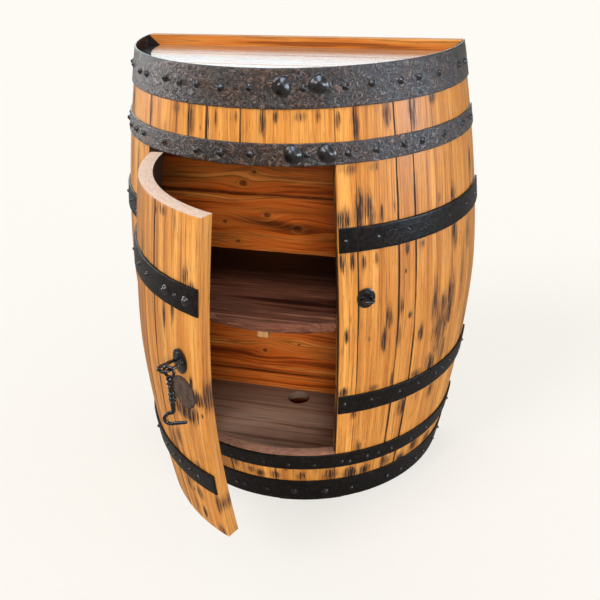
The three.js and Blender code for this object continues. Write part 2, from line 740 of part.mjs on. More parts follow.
function hookBend() {
  const point = (x, z) => new THREE.Vector3(x, 0, z);
  const side = -hookBendStraight;
  const path = new THREE.CurvePath();
  path.add(new THREE.LineCurve3(point(0, bendTop), point(side, bendTop)));
  const arcPieces = 4;
  const around = (turn) => point(
    side - hookBendRadius * Math.sin(turn), bendTop - hookBendRadius + hookBendRadius * Math.cos(turn),
  );
  const bulge = 1 / Math.cos(Math.PI / arcPieces / 2);
  const outside = (turn) => point(
    side - hookBendRadius * bulge * Math.sin(turn),
    bendTop - hookBendRadius + hookBendRadius * bulge * Math.cos(turn),
  );
  for (let i = 0; i < arcPieces; i += 1) {
    const [start, end] = [Math.PI * i / arcPieces, Math.PI * (i + 1) / arcPieces];
    path.add(new THREE.QuadraticBezierCurve3(around(start), outside((start + end) / 2), around(end)));
  }
  path.add(new THREE.LineCurve3(point(side, -hookLength), point(hookTipLength, -hookLength)));
  return bentRod(hookRodRadius, path, 26);
}

const hook = addPiece(latch, 'latch_hook', toGeometry(join([shank, hookBend()])), blackIron);
hook.rotation.z = hookRestAngle * degrees;

export default cabinet;
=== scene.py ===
import math
import bpy
import numpy as np
from mathutils import Matrix


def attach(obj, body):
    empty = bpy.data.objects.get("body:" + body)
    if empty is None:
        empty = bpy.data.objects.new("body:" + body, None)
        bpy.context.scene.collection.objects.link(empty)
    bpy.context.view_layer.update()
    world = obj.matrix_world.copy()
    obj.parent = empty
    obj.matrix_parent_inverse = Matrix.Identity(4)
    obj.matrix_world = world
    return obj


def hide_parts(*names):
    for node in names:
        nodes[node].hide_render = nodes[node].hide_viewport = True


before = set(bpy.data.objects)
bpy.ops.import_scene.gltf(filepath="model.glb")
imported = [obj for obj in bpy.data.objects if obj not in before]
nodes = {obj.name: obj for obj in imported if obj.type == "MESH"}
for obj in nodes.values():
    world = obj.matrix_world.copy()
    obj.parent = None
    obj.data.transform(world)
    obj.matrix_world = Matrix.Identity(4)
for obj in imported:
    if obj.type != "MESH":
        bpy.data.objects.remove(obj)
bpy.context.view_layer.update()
print("frame loaded:", len(nodes), "nodes")

# the cask's own sizes, in metres and degrees
cask = {
    "height": 0.9,
    "bilge": 0.3712,
    "head": 0.316,
    "sidePower": 1.65,
    "thicknessBilge": 0.0215,
    "thicknessEnd": 0.029,
    "backPlane": 0.009,
    "staveTop": 0.878,
    "staveGap": 0.0003,
    "doorGap": 0.0026,
    "hingeAngle": -39.3,
    "freeAngle": 23.6,
    "openAngle": 46.9,
}
# from the foot to the rim, each hoop's lower and upper edge
hoopSpans = {
    "foot": (0.0025, 0.062),
    "lower": (0.0995, 0.1378),
    "belowShelf": (0.248, 0.291),
    "aboveShelf": (0.5924, 0.637),
    "upper": (0.7454, 0.7824),
    "rim": (0.8365, 0.9),
}
hingePin = {"aboveHoop": 0.009, "aboveLowHoop": 0.037, "half": 0.0285, "leafFace": 0.0076, "knuckle": 0.006,
            "clearance": 0.00175}


def endShare(z):
    return np.abs(2 * z / cask["height"] - 1) ** cask["sidePower"]


def outerRadius(z):
    # fullest at half height, straighter towards the ends
    return cask["bilge"] - (cask["bilge"] - cask["head"]) * endShare(z)


def staveThickness(z):
    return cask["thicknessBilge"] + (cask["thicknessEnd"] - cask["thicknessBilge"]) * endShare(z)


def onCask(azimuth, radius, z):
    # a point at an angle from the front, a distance from the axis and a height
    return np.stack([radius * np.sin(azimuth), -radius * np.cos(azimuth), z + 0 * azimuth], -1)


# the pins stand clear of the widest place of the hinge leaves
hingeCentres = (hoopSpans["aboveShelf"][0] + hingePin["aboveHoop"],
                hoopSpans["belowShelf"][0] + hingePin["aboveLowHoop"])
hingeRadius = max(outerRadius(z + end) for z in hingeCentres for end in (-hingePin["half"], hingePin["half"]))
hingeRadius += hingePin["leafFace"] + hingePin["knuckle"] + hingePin["clearance"]
hingeAzimuth = math.radians(cask["hingeAngle"])
hingePoint = np.array([math.sin(hingeAzimuth), -math.cos(hingeAzimuth), 0]) * hingeRadius


def turnAbout(points, centre, degrees):
    # turns points about an upright line through a centre
    c, s = math.cos(math.radians(degrees)), math.sin(math.radians(degrees))
    turn = np.array([[c, s, 0], [-s, c, 0], [0, 0, 1]])
    return (points - centre) @ turn + centre


def swingDoor(points):
    return turnAbout(points, hingePoint, -cask["openAngle"])


def waves(x, y, seed, count=7):
    # a sum of sine waves with directions and phases drawn from a seed, between about -1 and 1
    draw = np.random.default_rng(seed)
    total = np.zeros(np.broadcast(x, y).shape)
    for k in range(count):
        angle, phase = draw.uniform(0, 2 * np.pi, 2)
        pitch = draw.uniform(0.6, 1.8)
        total += np.sin(pitch * (x * np.cos(angle) + y * np.sin(angle)) + phase)
    return total / count * 1.4


def edgeLine(length, step, rounding):
    # places along a length, closer at both ends, and how far the surface drops there:
    # a quarter circle of the rounding's radius at each end
    turns = np.linspace(0, np.pi / 2, 4)
    near = rounding * (1 - np.sin(turns[::-1]))
    nearDrop = rounding * (1 - np.cos(turns[::-1]))
    count = max(2, int(round((length - 2 * rounding) / step)) + 1)
    middle = np.linspace(rounding, length - rounding, count)
    near = rounding - rounding * np.sin(turns[::-1])
    nearDrop = rounding - rounding * np.cos(turns[::-1])
    places = np.concatenate([near[:-1], middle, (length - near[:-1])[::-1]])
    drops = np.concatenate([nearDrop[:-1], np.zeros(count), nearDrop[:-1][::-1]])
    return places / length, drops


def gridFaces(rows, columns, start=0):
    i, j = np.meshgrid(np.arange(rows - 1), np.arange(columns - 1), indexing="ij")
    a = start + i * columns + j
    return np.stack([a, a + columns, a + columns + 1, a + 1], -1).reshape(-1, 4)


def closedShell(outer, inner):
    # two grids of points, joined round their borders; zones: 0 outer, 1 inner, 2 long sides, 3 ends
    rows, columns = outer.shape[:2]
    count = rows * columns
    points = np.concatenate([outer.reshape(-1, 3), inner.reshape(-1, 3)])
    place = np.arange(count).reshape(rows, columns)
    faces, zones = [gridFaces(rows, columns), gridFaces(rows, columns, count)[:, ::-1]], []
    zones = [np.zeros(len(faces[0]), int), np.ones(len(faces[1]), int)]
    for line, zone, flip in ((place[0], 2, 0), (place[-1], 2, 1), (place[:, 0], 3, 1), (place[:, -1], 3, 0)):
        strip = np.stack([line[:-1], line[1:], line[1:] + count, line[:-1] + count], -1)
        faces.append(strip[:, ::-1] if flip else strip)
        zones.append(np.full(len(strip), zone))
    faces = np.concatenate(faces)
    return points, outward(points, faces), np.concatenate(zones)


def outward(points, faces):
    # turns every face round if the closed shell's volume comes out negative
    a, b, c, d = (points[faces[:, k]] for k in range(4))
    volume = np.einsum("ij,ij->", a, np.cross(b, c)) + np.einsum("ij,ij->", a, np.cross(c, d))
    return faces if volume > 0 else faces[:, ::-1]


def addPiece(name, points, faces, body, materials, replaced=(), zones=None, uv=None, values=None, sharp=38):
    mesh = bpy.data.meshes.new(name)
    mesh.from_pydata(points.tolist(), [], faces.tolist() if isinstance(faces, np.ndarray) else faces)
    for material in materials:
        mesh.materials.append(material)
    if zones is not None:
        mesh.polygons.foreach_set("material_index", zones.astype(np.int32))
    corners = np.zeros(len(mesh.loops), np.int32)
    mesh.loops.foreach_get("vertex_index", corners)
    if uv is not None:
        layer = mesh.uv_layers.new(name="grain")
        layer.data.foreach_set("uv", uv[corners].astype(np.float32).ravel())
    for key, value in (values or {}).items():
        mesh.attributes.new(key, "FLOAT", "POINT").data.foreach_set("value", value.astype(np.float32).ravel())
    mesh.polygons.foreach_set("use_smooth", np.ones(len(mesh.polygons), bool))
    mesh.set_sharp_from_angle(angle=math.radians(sharp))
    mesh.update()
    piece = bpy.data.objects.new(name, mesh)
    bpy.context.scene.collection.objects.link(piece)
    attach(piece, body)
    if replaced:
        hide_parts(*replaced)
    return piece


# ---- node helpers for the materials
def addNode(tree, kind, inputs=None, **settings):
    made = tree.nodes.new(kind)
    for key, value in settings.items():
        setattr(made, key, value)
    for key, value in (inputs or {}).items():
        if isinstance(value, bpy.types.NodeSocket):
            tree.links.new(value, made.inputs[key])
        else:
            made.inputs[key].default_value = value
    return made


def maths(tree, operation, a, b=0.0, clamp=False):
    return addNode(tree, "ShaderNodeMath", {0: a, 1: b}, operation=operation, use_clamp=clamp).outputs[0]


def spread(tree, value, low, high, toLow=0.0, toHigh=1.0):
    made = addNode(tree, "ShaderNodeMapRange", {"Value": value, "From Min": low, "From Max": high,
                   "To Min": toLow, "To Max": toHigh}, interpolation_type="SMOOTHSTEP")
    return made.outputs["Result"]


def blend(tree, share, a, b, kind="MIX"):
    made = addNode(tree, "ShaderNodeMix", data_type="RGBA", blend_type=kind)
    for index, value in ((0, share), (6, a), (7, b)):
        if isinstance(value, bpy.types.NodeSocket):
            tree.links.new(value, made.inputs[index])
        else:
            made.inputs[index].default_value = (*value, 1) if isinstance(value, tuple) else value
    return made.outputs[2]


def ramp(tree, value, stops):
    made = addNode(tree, "ShaderNodeValToRGB", {"Fac": value})
    band = made.color_ramp
    while len(band.elements) < len(stops):
        band.elements.new(0.5)
    for element, (place, colour) in zip(band.elements, stops):
        element.position = place
        element.color = (*colour, 1)
    return made.outputs["Color"]


def stretched(tree, vector, scale, detail=4.0, rough=0.55, offset=(0, 0, 0), twist=0.0):
    moved = addNode(tree, "ShaderNodeMapping", {"Vector": vector, "Scale": scale, "Location": offset})
    made = addNode(tree, "ShaderNodeTexNoise", {"Vector": moved.outputs[0], "Scale": 1.0, "Detail": detail,
                   "Roughness": rough, "Distortion": twist})
    return made.outputs["Fac"]


def cells(tree, vector, scale, feature="F1", jitter=1.0):
    return addNode(tree, "ShaderNodeTexVoronoi", {"Vector": vector, "Scale": scale, "Randomness": jitter},
                   feature=feature)


def attribute(tree, name):
    return addNode(tree, "ShaderNodeAttribute", attribute_name=name).outputs["Fac"]


def newMaterial(name, metallic=0.0, coat=0.0, coatRough=0.2, specular=0.5):
    material = bpy.data.materials.new(name)
    material.use_nodes = True
    tree = material.node_tree
    shader = tree.nodes["Principled BSDF"]
    shader.inputs["Metallic"].default_value = metallic
    shader.inputs["Coat Weight"].default_value = coat
    shader.inputs["Coat Roughness"].default_value = coatRough
    shader.inputs["Specular IOR Level"].default_value = specular
    return material, tree, shader


def raise_(tree, shader, height, depth, strength=1.0, coated=False):
    bump = addNode(tree, "ShaderNodeBump", {"Height": height, "Distance": depth, "Strength": strength})
    tree.links.new(bump.outputs[0], shader.inputs["Normal"])
    if coated:
        tree.links.new(bump.outputs[0], shader.inputs["Coat Normal"])


def grainVector(tree, useUv):
    if useUv:
        return addNode(tree, "ShaderNodeUVMap", uv_map="grain").outputs[0]
    return addNode(tree, "ShaderNodeTexCoord").outputs["Object"]


# oak of the staves: grain runs up the stave, x of the map goes across it
oak = {
    "deep": (0.42, 0.150, 0.027),
    "middle": (0.60, 0.225, 0.036),
    "light": (0.77, 0.340, 0.066),
    "pale": (0.90, 0.48, 0.130),
    "line": (0.20, 0.066, 0.016),
    "streak": (0.10, 0.035, 0.012),
    "stain": (0.012, 0.008, 0.007),
    "roughLow": 0.34,
    "roughHigh": 0.55,
}


def makeOak(name, tint=(1, 1, 1), aged=0.0):
    material, tree, shader = newMaterial(name, coat=0.08, coatRough=0.28, specular=0.35)
    uv = grainVector(tree, True)
    sway = stretched(tree, uv, (5, 1.6, 1), 2)
    shift = addNode(tree, "ShaderNodeCombineXYZ", {"X": maths(tree, "MULTIPLY", sway, 0.022)})
    flow = addNode(tree, "ShaderNodeVectorMath", {0: uv, 1: shift.outputs[0]}, operation="ADD").outputs[0]
    bands = stretched(tree, flow, (75, 2.0, 1), 6, 0.62)
    lines = stretched(tree, flow, (400, 5, 1), 5, 0.65)
    pores = stretched(tree, flow, (900, 26, 1), 3, 0.6)
    patches = stretched(tree, uv, (10, 3, 1), 3, offset=(3, 1, 0))
    streaks = stretched(tree, flow, (170, 1.7, 1), 6, 0.7, offset=(9, 4, 0))
    colour = ramp(tree, bands, [(0.30, oak["deep"]), (0.44, oak["middle"]), (0.57, oak["light"]),
                                (0.76, oak["pale"])])
    tone = attribute(tree, "tone")
    colour = blend(tree, spread(tree, patches, 0.35, 0.75, 0.0, 0.45), colour, oak["middle"])
    colour = blend(tree, 1.0, colour, ramp(tree, tone, [(0.0, (0.74, 0.66, 0.58)), (0.5, (1, 1, 1)),
                   (1.0, (1.16, 1.2, 1.22))]), "MULTIPLY")
    dark = spread(tree, lines, 0.50, 0.32, 0.0, 0.8)
    colour = blend(tree, dark, colour, oak["line"])
    colour = blend(tree, spread(tree, pores, 0.58, 0.68, 0.0, 0.7), colour, oak["streak"])
    colour = blend(tree, spread(tree, streaks, 0.58, 0.68, 0.0, 0.8), colour, oak["streak"])
    seamNoise = stretched(tree, uv, (40, 4, 1), 4, 0.6, offset=(1, 7, 0))
    seam = maths(tree, "MULTIPLY", attribute(tree, "seam"), spread(tree, seamNoise, 0.32, 0.62, 0.25, 1.4), True)
    colour = blend(tree, spread(tree, seam, 0.25, 0.75, 0.0, 0.95), colour, oak["stain"])
    ragged = stretched(tree, flow, (420, 15, 1), 5, 0.65, offset=(2, 5, 0))
    cloudy = stretched(tree, uv, (60, 22, 1), 4, 0.6, offset=(6, 1, 0))
    stainValue = maths(tree, "MULTIPLY", attribute(tree, "stain"),
                       maths(tree, "ADD", maths(tree, "MULTIPLY", ragged, 5.5), -1.95))
    soak = maths(tree, "MULTIPLY", attribute(tree, "stain"), spread(tree, cloudy, 0.25, 0.6, 0.3, 1.3))
    colour = blend(tree, spread(tree, soak, 0.15, 0.8, 0.0, 0.62), colour, (0.17, 0.060, 0.020))
    stain = spread(tree, stainValue, 0.40, 0.72, 0.0, 0.95)
    colour = blend(tree, stain, colour, oak["stain"])
    specks = cells(tree, addNode(tree, "ShaderNodeMapping", {"Vector": uv, "Scale": (1, 0.45, 1)}).outputs[0], 42)
    speck = maths(tree, "MULTIPLY", spread(tree, specks.outputs["Distance"], 0.13, 0.05),
                  spread(tree, addNode(tree, "ShaderNodeSeparateColor", {0: specks.outputs["Color"]}).outputs[0],
                         0.78, 0.8))
    colour = blend(tree, maths(tree, "MULTIPLY", speck, 0.9), colour, oak["stain"])
    colour = blend(tree, 1.0, colour, tint, "MULTIPLY")
    if aged:
        colour = blend(tree, aged, colour, oak["streak"])
    tree.links.new(colour, shader.inputs["Base Color"])
    rough = spread(tree, bands, 0.3, 0.7, oak["roughLow"], oak["roughHigh"])
    tree.links.new(maths(tree, "ADD", rough, maths(tree, "MULTIPLY", stain, 0.2)), shader.inputs["Roughness"])
    height = maths(tree, "ADD", maths(tree, "MULTIPLY", lines, 0.5), maths(tree, "MULTIPLY", pores, 0.35))
    raise_(tree, shader, height, 0.0007, 0.6)
    return material


def makeEndGrain(name, light, dark, rough=0.7):
    # end grain: growth rings nearly along the arc, with rays across them
    material, tree, shader = newMaterial(name, specular=0.3)
    uv = grainVector(tree, True)
    rings = stretched(tree, uv, (60, 520, 1), 4, 0.6)
    rays = stretched(tree, uv, (700, 25, 1), 3, offset=(4, 2, 0))
    cloud = stretched(tree, uv, (30, 60, 1), 3)
    colour = ramp(tree, rings, [(0.3, dark), (0.62, light)])
    colour = blend(tree, spread(tree, rays, 0.55, 0.7, 0.0, 0.35), colour, dark)
    colour = blend(tree, spread(tree, cloud, 0.4, 0.7, 0.0, 0.3), colour, dark)
    tree.links.new(colour, shader.inputs["Base Color"])
    shader.inputs["Roughness"].default_value = rough
    raise_(tree, shader, rings, 0.0006, 0.5)
    return material


def makeCharred(name):
    # the inside of the staves, blackened when the cask was toasted
    material, tree, shader = newMaterial(name, specular=0.3)
    uv = grainVector(tree, True)
    lines = stretched(tree, uv, (160, 5, 1), 5)
    cracks = stretched(tree, uv, (60, 60, 1), 5, 0.7, offset=(5, 5, 0))
    colour = ramp(tree, lines, [(0.3, (0.010, 0.006, 0.005)), (0.6, (0.045, 0.018, 0.010)),
                                (0.8, (0.11, 0.042, 0.018))])
    tree.links.new(colour, shader.inputs["Base Color"])
    shader.inputs["Roughness"].default_value = 0.75
    raise_(tree, shader, maths(tree, "ADD", lines, maths(tree, "MULTIPLY", cracks, 0.6)), 0.0012, 0.6)
    return material


iron = {
    "black": (0.012, 0.010, 0.010),
    "grey": (0.058, 0.044, 0.038),
    "blue": (0.160, 0.130, 0.118),
    "brown": (0.66, 0.42, 0.28),
}


def makeIron(name, relief, fine, brown, rough, shade=1.0, specular=0.6, coat=0.35, coatRough=0.2, metallic=0.4):
    # lacquered iron: crinkled ridges of the hammering over finer ones, with rusty patches under the lacquer; the colour
    # paints shade into the ridges' hollows and light onto their crests
    material, tree, shader = newMaterial(name, metallic=metallic, coat=coat, coatRough=coatRough,
                                         specular=specular)
    place = grainVector(tree, False)
    ridges = stretched(tree, place, (relief["pitch"],) * 3, 4, 0.6, twist=0.7)
    small = stretched(tree, place, (fine["pitch"],) * 3, 5, 0.65, twist=0.6)
    cloud = stretched(tree, place, (22, 22, 22), 4, 0.6)
    crest = maths(tree, "ABSOLUTE", maths(tree, "SUBTRACT", ridges, 0.5))
    black, grey, blue = (tuple(c * shade for c in iron[key]) for key in ("black", "grey", "blue"))
    speckle = maths(tree, "MULTIPLY", maths(tree, "SUBTRACT", small, 0.5), 0.45)
    # painted shade: the hollows of the ridges go black, and the crests turn a paler bluish grey as a painted highlight
    colour = ramp(tree, maths(tree, "ADD", maths(tree, "MULTIPLY", crest, relief["pale"]), speckle),
                  [(0.0, black), (0.14, grey), (0.32, blue)])
    colour = blend(tree, spread(tree, cloud, 0.36, 0.60, 0.0, brown), colour, iron["brown"], "SOFT_LIGHT")
    tree.links.new(colour, shader.inputs["Base Color"])
    tree.links.new(spread(tree, small, 0.35, 0.7, rough[0], rough[1]), shader.inputs["Roughness"])
    height = maths(tree, "ADD", maths(tree, "MULTIPLY", crest, relief["depth"]),
                   maths(tree, "MULTIPLY", small, fine["depth"]))
    raise_(tree, shader, height, 0.001, 1.0, coated=True)
    return material


pine = {
    "dark": (0.18, 0.026, 0.004),
    "middle": (0.72, 0.145, 0.017),
    "light": (0.95, 0.33, 0.065),
}


def makePine(name, dark, middle, light, useUv=False, knots=False, along="x", gloss=0.45, coat=0.15, wide=55,
             darkerToBack=None, specular=0.3):
    # boards: the grain runs along one direction; with knots, the piece's own grain value bends round them
    material, tree, shader = newMaterial(name, coat=coat, coatRough=0.25, specular=specular)
    place = grainVector(tree, useUv)
    scale = (1.6, wide, wide) if along == "x" else (wide, wide, 1.6)
    fineScale = (9, 380, 380) if along == "x" else (380, 380, 9)
    if knots:
        split = addNode(tree, "ShaderNodeSeparateXYZ", {0: place})
        place = addNode(tree, "ShaderNodeCombineXYZ", {"X": split.outputs[0], "Y": attribute(tree, "flow"),
                        "Z": 0.0}).outputs[0]
    sway = stretched(tree, place, tuple(s * 0.12 for s in scale), 2)
    push = maths(tree, "MULTIPLY", sway, 0.03)
    shift = addNode(tree, "ShaderNodeCombineXYZ", {"Y": push, "Z": push} if along == "x" else {"X": push, "Y": push})
    flow = addNode(tree, "ShaderNodeVectorMath", {0: place, 1: shift.outputs[0]}, operation="ADD").outputs[0]
    bands = stretched(tree, flow, scale, 5, 0.6)
    rings = addNode(tree, "ShaderNodeMath", {0: maths(tree, "MULTIPLY", bands, 34.0)}, operation="SINE").outputs[0]
    lines = stretched(tree, flow, fineScale, 3)
    colour = ramp(tree, bands, [(0.3, dark), (0.48, middle), (0.68, light)])
    colour = blend(tree, spread(tree, rings, 0.2, 1.0, 0.0, 0.5), colour, dark)
    colour = blend(tree, spread(tree, lines, 0.45, 0.75, 0.0, 0.4), colour, dark)
    # darker towards the back of the cask: on the bottom boards this is painted shade under the shelf; on the shelf it
    # darkens the rear
    if darkerToBack:
        split = addNode(tree, "ShaderNodeSeparateXYZ", {0: grainVector(tree, False)})
        depth = maths(tree, "ADD", split.outputs[1], maths(tree, "MULTIPLY", maths(tree, "SUBTRACT", bands, 0.5), 0.12))
        colour = blend(tree, spread(tree, depth, *darkerToBack, 0.0, 0.88), colour, tuple(c * 0.5 for c in dark))
    if knots:
        knot = attribute(tree, "knot")
        eye = stretched(tree, flow, (120, 120, 120), 3)
        rough = maths(tree, "ADD", knot, maths(tree, "MULTIPLY", maths(tree, "SUBTRACT", eye, 0.5), 0.35))
        turns = addNode(tree, "ShaderNodeMath", {0: maths(tree, "MULTIPLY", rough, 24.0)}, operation="SINE").outputs[0]
        ringed = maths(tree, "MULTIPLY", spread(tree, turns, 0.0, 0.9), spread(tree, rough, 0.12, 0.4, 0.0, 0.6))
        colour = blend(tree, spread(tree, rough, 0.08, 0.5, 0.0, 0.35), colour, light)
        colour = blend(tree, ringed, colour, dark)
        colour = blend(tree, spread(tree, rough, 0.62, 1.0, 0.0, 0.8), colour, tuple(c * 0.6 for c in dark))
        smear = attribute(tree, "smear")
        colour = blend(tree, maths(tree, "MULTIPLY", smear, spread(tree, lines, 0.25, 0.6, 0.4, 1.0)), colour,
                       (0.012, 0.006, 0.004))
    tree.links.new(colour, shader.inputs["Base Color"])
    tree.links.new(spread(tree, bands, 0.3, 0.7, gloss, gloss + 0.15), shader.inputs["Roughness"])
    raise_(tree, shader, maths(tree, "ADD", lines, maths(tree, "MULTIPLY", rings, 0.25)), 0.0005, 0.5)
    return material


staveOak = makeOak("staveOak")
paleEnd = makeEndGrain("paleEndGrain", (0.90, 0.73, 0.61), (0.68, 0.45, 0.33))
wornEnd = makeEndGrain("wornEndGrain", (0.78, 0.40, 0.26), (0.30, 0.13, 0.085))
# near-black end grain for the staves' ends; also the colour of the painted shade blocks at the back rail's ends
darkEndAndShade = makeEndGrain("darkEndGrain", (0.035, 0.022, 0.016), (0.008, 0.006, 0.006))
charredWood = makeCharred("charredWood")
hammeredIron = makeIron("hammeredIron", {"pitch": 105, "depth": 4.2, "pale": 1.9}, {"pitch": 260, "depth": 0.8}, 0.9,
                        (0.30, 0.42), shade=0.80, coat=0.8, coatRough=0.14, metallic=0.25)
smoothIron = makeIron("smoothIron", {"pitch": 60, "depth": 1.2, "pale": 0.5}, {"pitch": 260, "depth": 0.5}, 0.3,
                      (0.34, 0.50), shade=0.40, specular=0.18, coat=0.28, coatRough=0.14, metallic=0.3)
blackIron = makeIron("blackIron", {"pitch": 150, "depth": 0.4, "pale": 0.3}, {"pitch": 420, "depth": 0.15}, 0.2,
                     (0.22, 0.40), shade=0.35, coat=0.9, coatRough=0.10)
# the rivets' iron is lighter than the hoops': partly their own colour, partly painted highlight on their domes
rivetIron = makeIron("rivetIron", {"pitch": 120, "depth": 0.5, "pale": 0.3}, {"pitch": 420, "depth": 0.2}, 0.0,
                     (0.26, 0.40), shade=0.9, coat=0.9, coatRough=0.24)
backPine = makePine("backPine", pine["dark"], pine["middle"], pine["light"], useUv=True, knots=True, coat=0.03)
plainPine = makePine("plainPine", pine["dark"], pine["middle"], pine["light"])
railPine = makePine("railPine", (0.15, 0.030, 0.005), (0.56, 0.165, 0.020), (0.87, 0.39, 0.085), gloss=0.5, coat=0.04)
topOak = makePine("topOak", (0.22, 0.085, 0.035), (0.50, 0.23, 0.10), (0.66, 0.36, 0.19), gloss=0.14,
                  coat=0.6, wide=40)
shelfOak = makePine("charredShelf", (0.007, 0.005, 0.005), (0.085, 0.026, 0.015), (0.55, 0.22, 0.13),
                    gloss=0.6, coat=0.02, wide=30, darkerToBack=(-0.19, -0.12), specular=0.15)
# the bottom boards: darker towards the back as painted shade under the shelf
greyOak = makePine("greyedOak", (0.26, 0.16, 0.11), (0.86, 0.58, 0.42), (0.98, 0.76, 0.58), gloss=0.5,
                   darkerToBack=(-0.20, 0.02))
freshPine = makePine("freshPine", (0.42, 0.19, 0.07), (0.62, 0.33, 0.14), (0.76, 0.47, 0.24), along="z")
print("materials made:", len(bpy.data.materials))

# ---- staves
stavePiece = {
    "acrossStep": 0.0034,
    "upStep": 0.0042,
    "rounding": 0.0007,
    "seamWidth": 0.0013,
    "mapSpread": 0.37,
}
# how dark each joint looks, by its angle
jointDarkness = {-75: 0.7, -57: 0.8, -39.3: 0.9, -26: 0.7, -20.8: 0.9, -14.2: 1.0, 23.6: 0.6, -14.4: 1.0, -3.2: 0.7, 4.2: 1.1, 2.7: 1.0,
                 29.5: 0.75, 42.3: 1.1, 48.4: 1.1, 65.2: 0.5, 79: 0.7}
# dark marks in the oak: angle, height, half width and half height in millimetres, strength
fixedMarks = np.array([
    (29.9, 811, 4, 24, .85), (39.9, 819, 5, 18, .85), (49.3, 817, 5, 26, .95), (58.2, 829, 7, 10, .75),
    (24.9, 817, 3, 12, .8), (28.4, 736, 14, 8, .6), (35.4, 736, 9, 8, .5), (30.3, 660, 5, 30, 1),
    (33, 670, 4, 20, .95), (33.8, 649, 4, 22, 1), (25.5, 650, 7, 16, .95), (40.9, 660, 3, 12, .6),
    (36.9, 653, 3, 18, .7), (66.1, 645, 6, 20, .8), (58.4, 652, 4, 14, .6), (66.3, 573, 7, 24, .85),
    (45.2, 580, 2.6, 11, .95), (25.2, 574, 4, 16, .95), (27.8, 576, 3, 14, .9), (31.2, 570, 3, 12, .8),
    (35.3, 573, 3, 13, .75), (50.6, 581, 5, 9, .6), (39.2, 453, 4, 19, 1), (37.8, 411, 3.4, 22, 1),
    (26.1, 428, 3, 13, .95), (43.6, 469, 3, 15, .8), (46.5, 445, 3, 6, .9), (51.3, 396, 4.5, 15, .9),
    (56.7, 447, 6, 42, .8), (65, 438, 9, 46, .85), (64, 325, 8, 30, .75), (58.1, 300, 9, 20, .75),
    (60.6, 382, 16, 56, .75), (61, 425, 11, 30, .7), (57.5, 312, 12, 26, .6), (41.7, 306, 3, 14, .8), (31.8, 147, 4, 14, .85), (46.9, 224, 6, 16, 1),
    (42.8, 404, 4, 18, .75), (29.4, 240, 4, 11, .75), (25.3, 300, 8, 9, .8), (51.4, 297, 11, 9, .65),
    (60.7, 227, 9, 18, .6), (53, 234, 6, 10, .5), (35.3, 297, 9, 7, .6), (33.1, 415, 1.8, 5, .9),
    (76.7, 556, 8, 40, .6), (81.1, 684, 6, 26, .7), (72.6, 468, 6, 60, .6), (82, 330, 10, 40, .6),
    (-39.4, 810, 4, 24, .7), (-30.9, 788, 3, 14, .5), (-19.9, 813, 4.5, 20, 1), (-10.9, 817, 2.4, 14, .7),
    (3.4, 814, 3.4, 20, .95), (7.1, 825, 4, 10, .7), (14.2, 825, 7, 8, .6), (-14, 805, 2.2, 30, .9),
    (-4.6, 825, 3, 10, .6), (-26.1, 825, 8, 9, .6), (19.3, 825, 4, 9, .6), (-7.3, 791, 2, 10, .5),
    (-12.7, 91, 4, 9, .8), (-7, 79, 6, 8, .7), (-3.2, 73, 6, 9, .85), (2.5, 75, 6, 9, .9),
    (11.6, 77, 6, 10, .9), (22.2, 76, 9, 12, 1), (29.6, 72, 9, 14, 1.05), (35.4, 73, 7, 13, 1),
    (43.7, 77, 7, 13, 1.05), (51.2, 66, 7, 12, .95), (17, 91, 4, 10, .6), (58, 79, 8, 14, .9),
    (67.7, 72, 7, 12, .9), (-48.4, 685, 4, 40, .7), (-59.5, 549, 5, 36, .6), (-60, 420, 7, 50, .6),
    (-65.7, 315, 7, 50, .6), (-53.4, 338, 4, 40, .7), (-66, 690, 5, 30, .6), (-78.6, 524, 8, 60, .5),
    (-58, 812, 6, 20, .8), (-72, 818, 7, 16, .8),
])
doorMarks = np.array([
    (18.3, 646, 4, 15, .9), (20.5, 628, 5.5, 11, .95), (9.2, 573, 3, 27, .85), (13.1, 582, 3, 24, .9),
    (8.6, 733, 7, 8, .7), (14.1, 726, 2, 30, .5), (-4.5, 649, 3, 34, .7), (18, 410, 10, 16, 1.1),
    (14.4, 405, 12, 11, 1.1), (21.4, 446, 8, 10, 1.15), (23.8, 447, 2.4, 24, 1.1), (11.4, 425, 5, 16, .8),
    (9.6, 333, 5, 16, .8), (6.5, 297, 5, 34, .75), (14.3, 170, 3.2, 10, 1.1), (10.2, 173, 2.6, 14, .95),
    (22.4, 221, 4, 16, 1.05), (14.2, 217, 5, 12, .85), (8.9, 224, 4, 18, .7), (21.3, 147, 5, 12, .85),
    (-5.2, 160, 5, 22, .7), (11, 243, 8, 7, .7), (9.2, 393, 2.4, 60, .75), (17.2, 297, 7, 8, .6),
    (-8, 240, 5, 20, .6), (-16.5, 655, 3, 30, .6), (-19.8, 384, 4, 60, .6), (-26.8, 513, 4, 60, .6),
    (-30.1, 298, 5, 50, .6), (19.4, 470, 2, 14, .8), (5, 728, 5, 7, .6), (-19.1, 182, 4, 24, .6),
])


def markStrength(marks, azimuth, z):
    # the strongest of soft oval spots, each falling off as a bell
    strength = np.zeros(azimuth.shape)
    x = azimuth * outerRadius(z)
    for angle, height, halfWidth, halfHeight, amount in marks:
        across = (x - math.radians(angle) * outerRadius(z)) / (halfWidth * 1.3 / 1000)
        up = (z - height / 1000) / (halfHeight / 1000)
        near = (np.abs(across) < 4) & (np.abs(up) < 3)
        spot = np.where(near, amount * np.exp(-0.42 * (np.abs(across) ** 1.8 + np.abs(up) ** 1.8)), 0)
        strength = np.maximum(strength, spot)
    return strength


def edgeAt(angle, inset):
    return lambda radius: math.radians(angle) + inset / radius


def backEdge(side):
    return lambda radius: side * (math.pi / 2 + np.arcsin(cask["backPlane"] / radius))


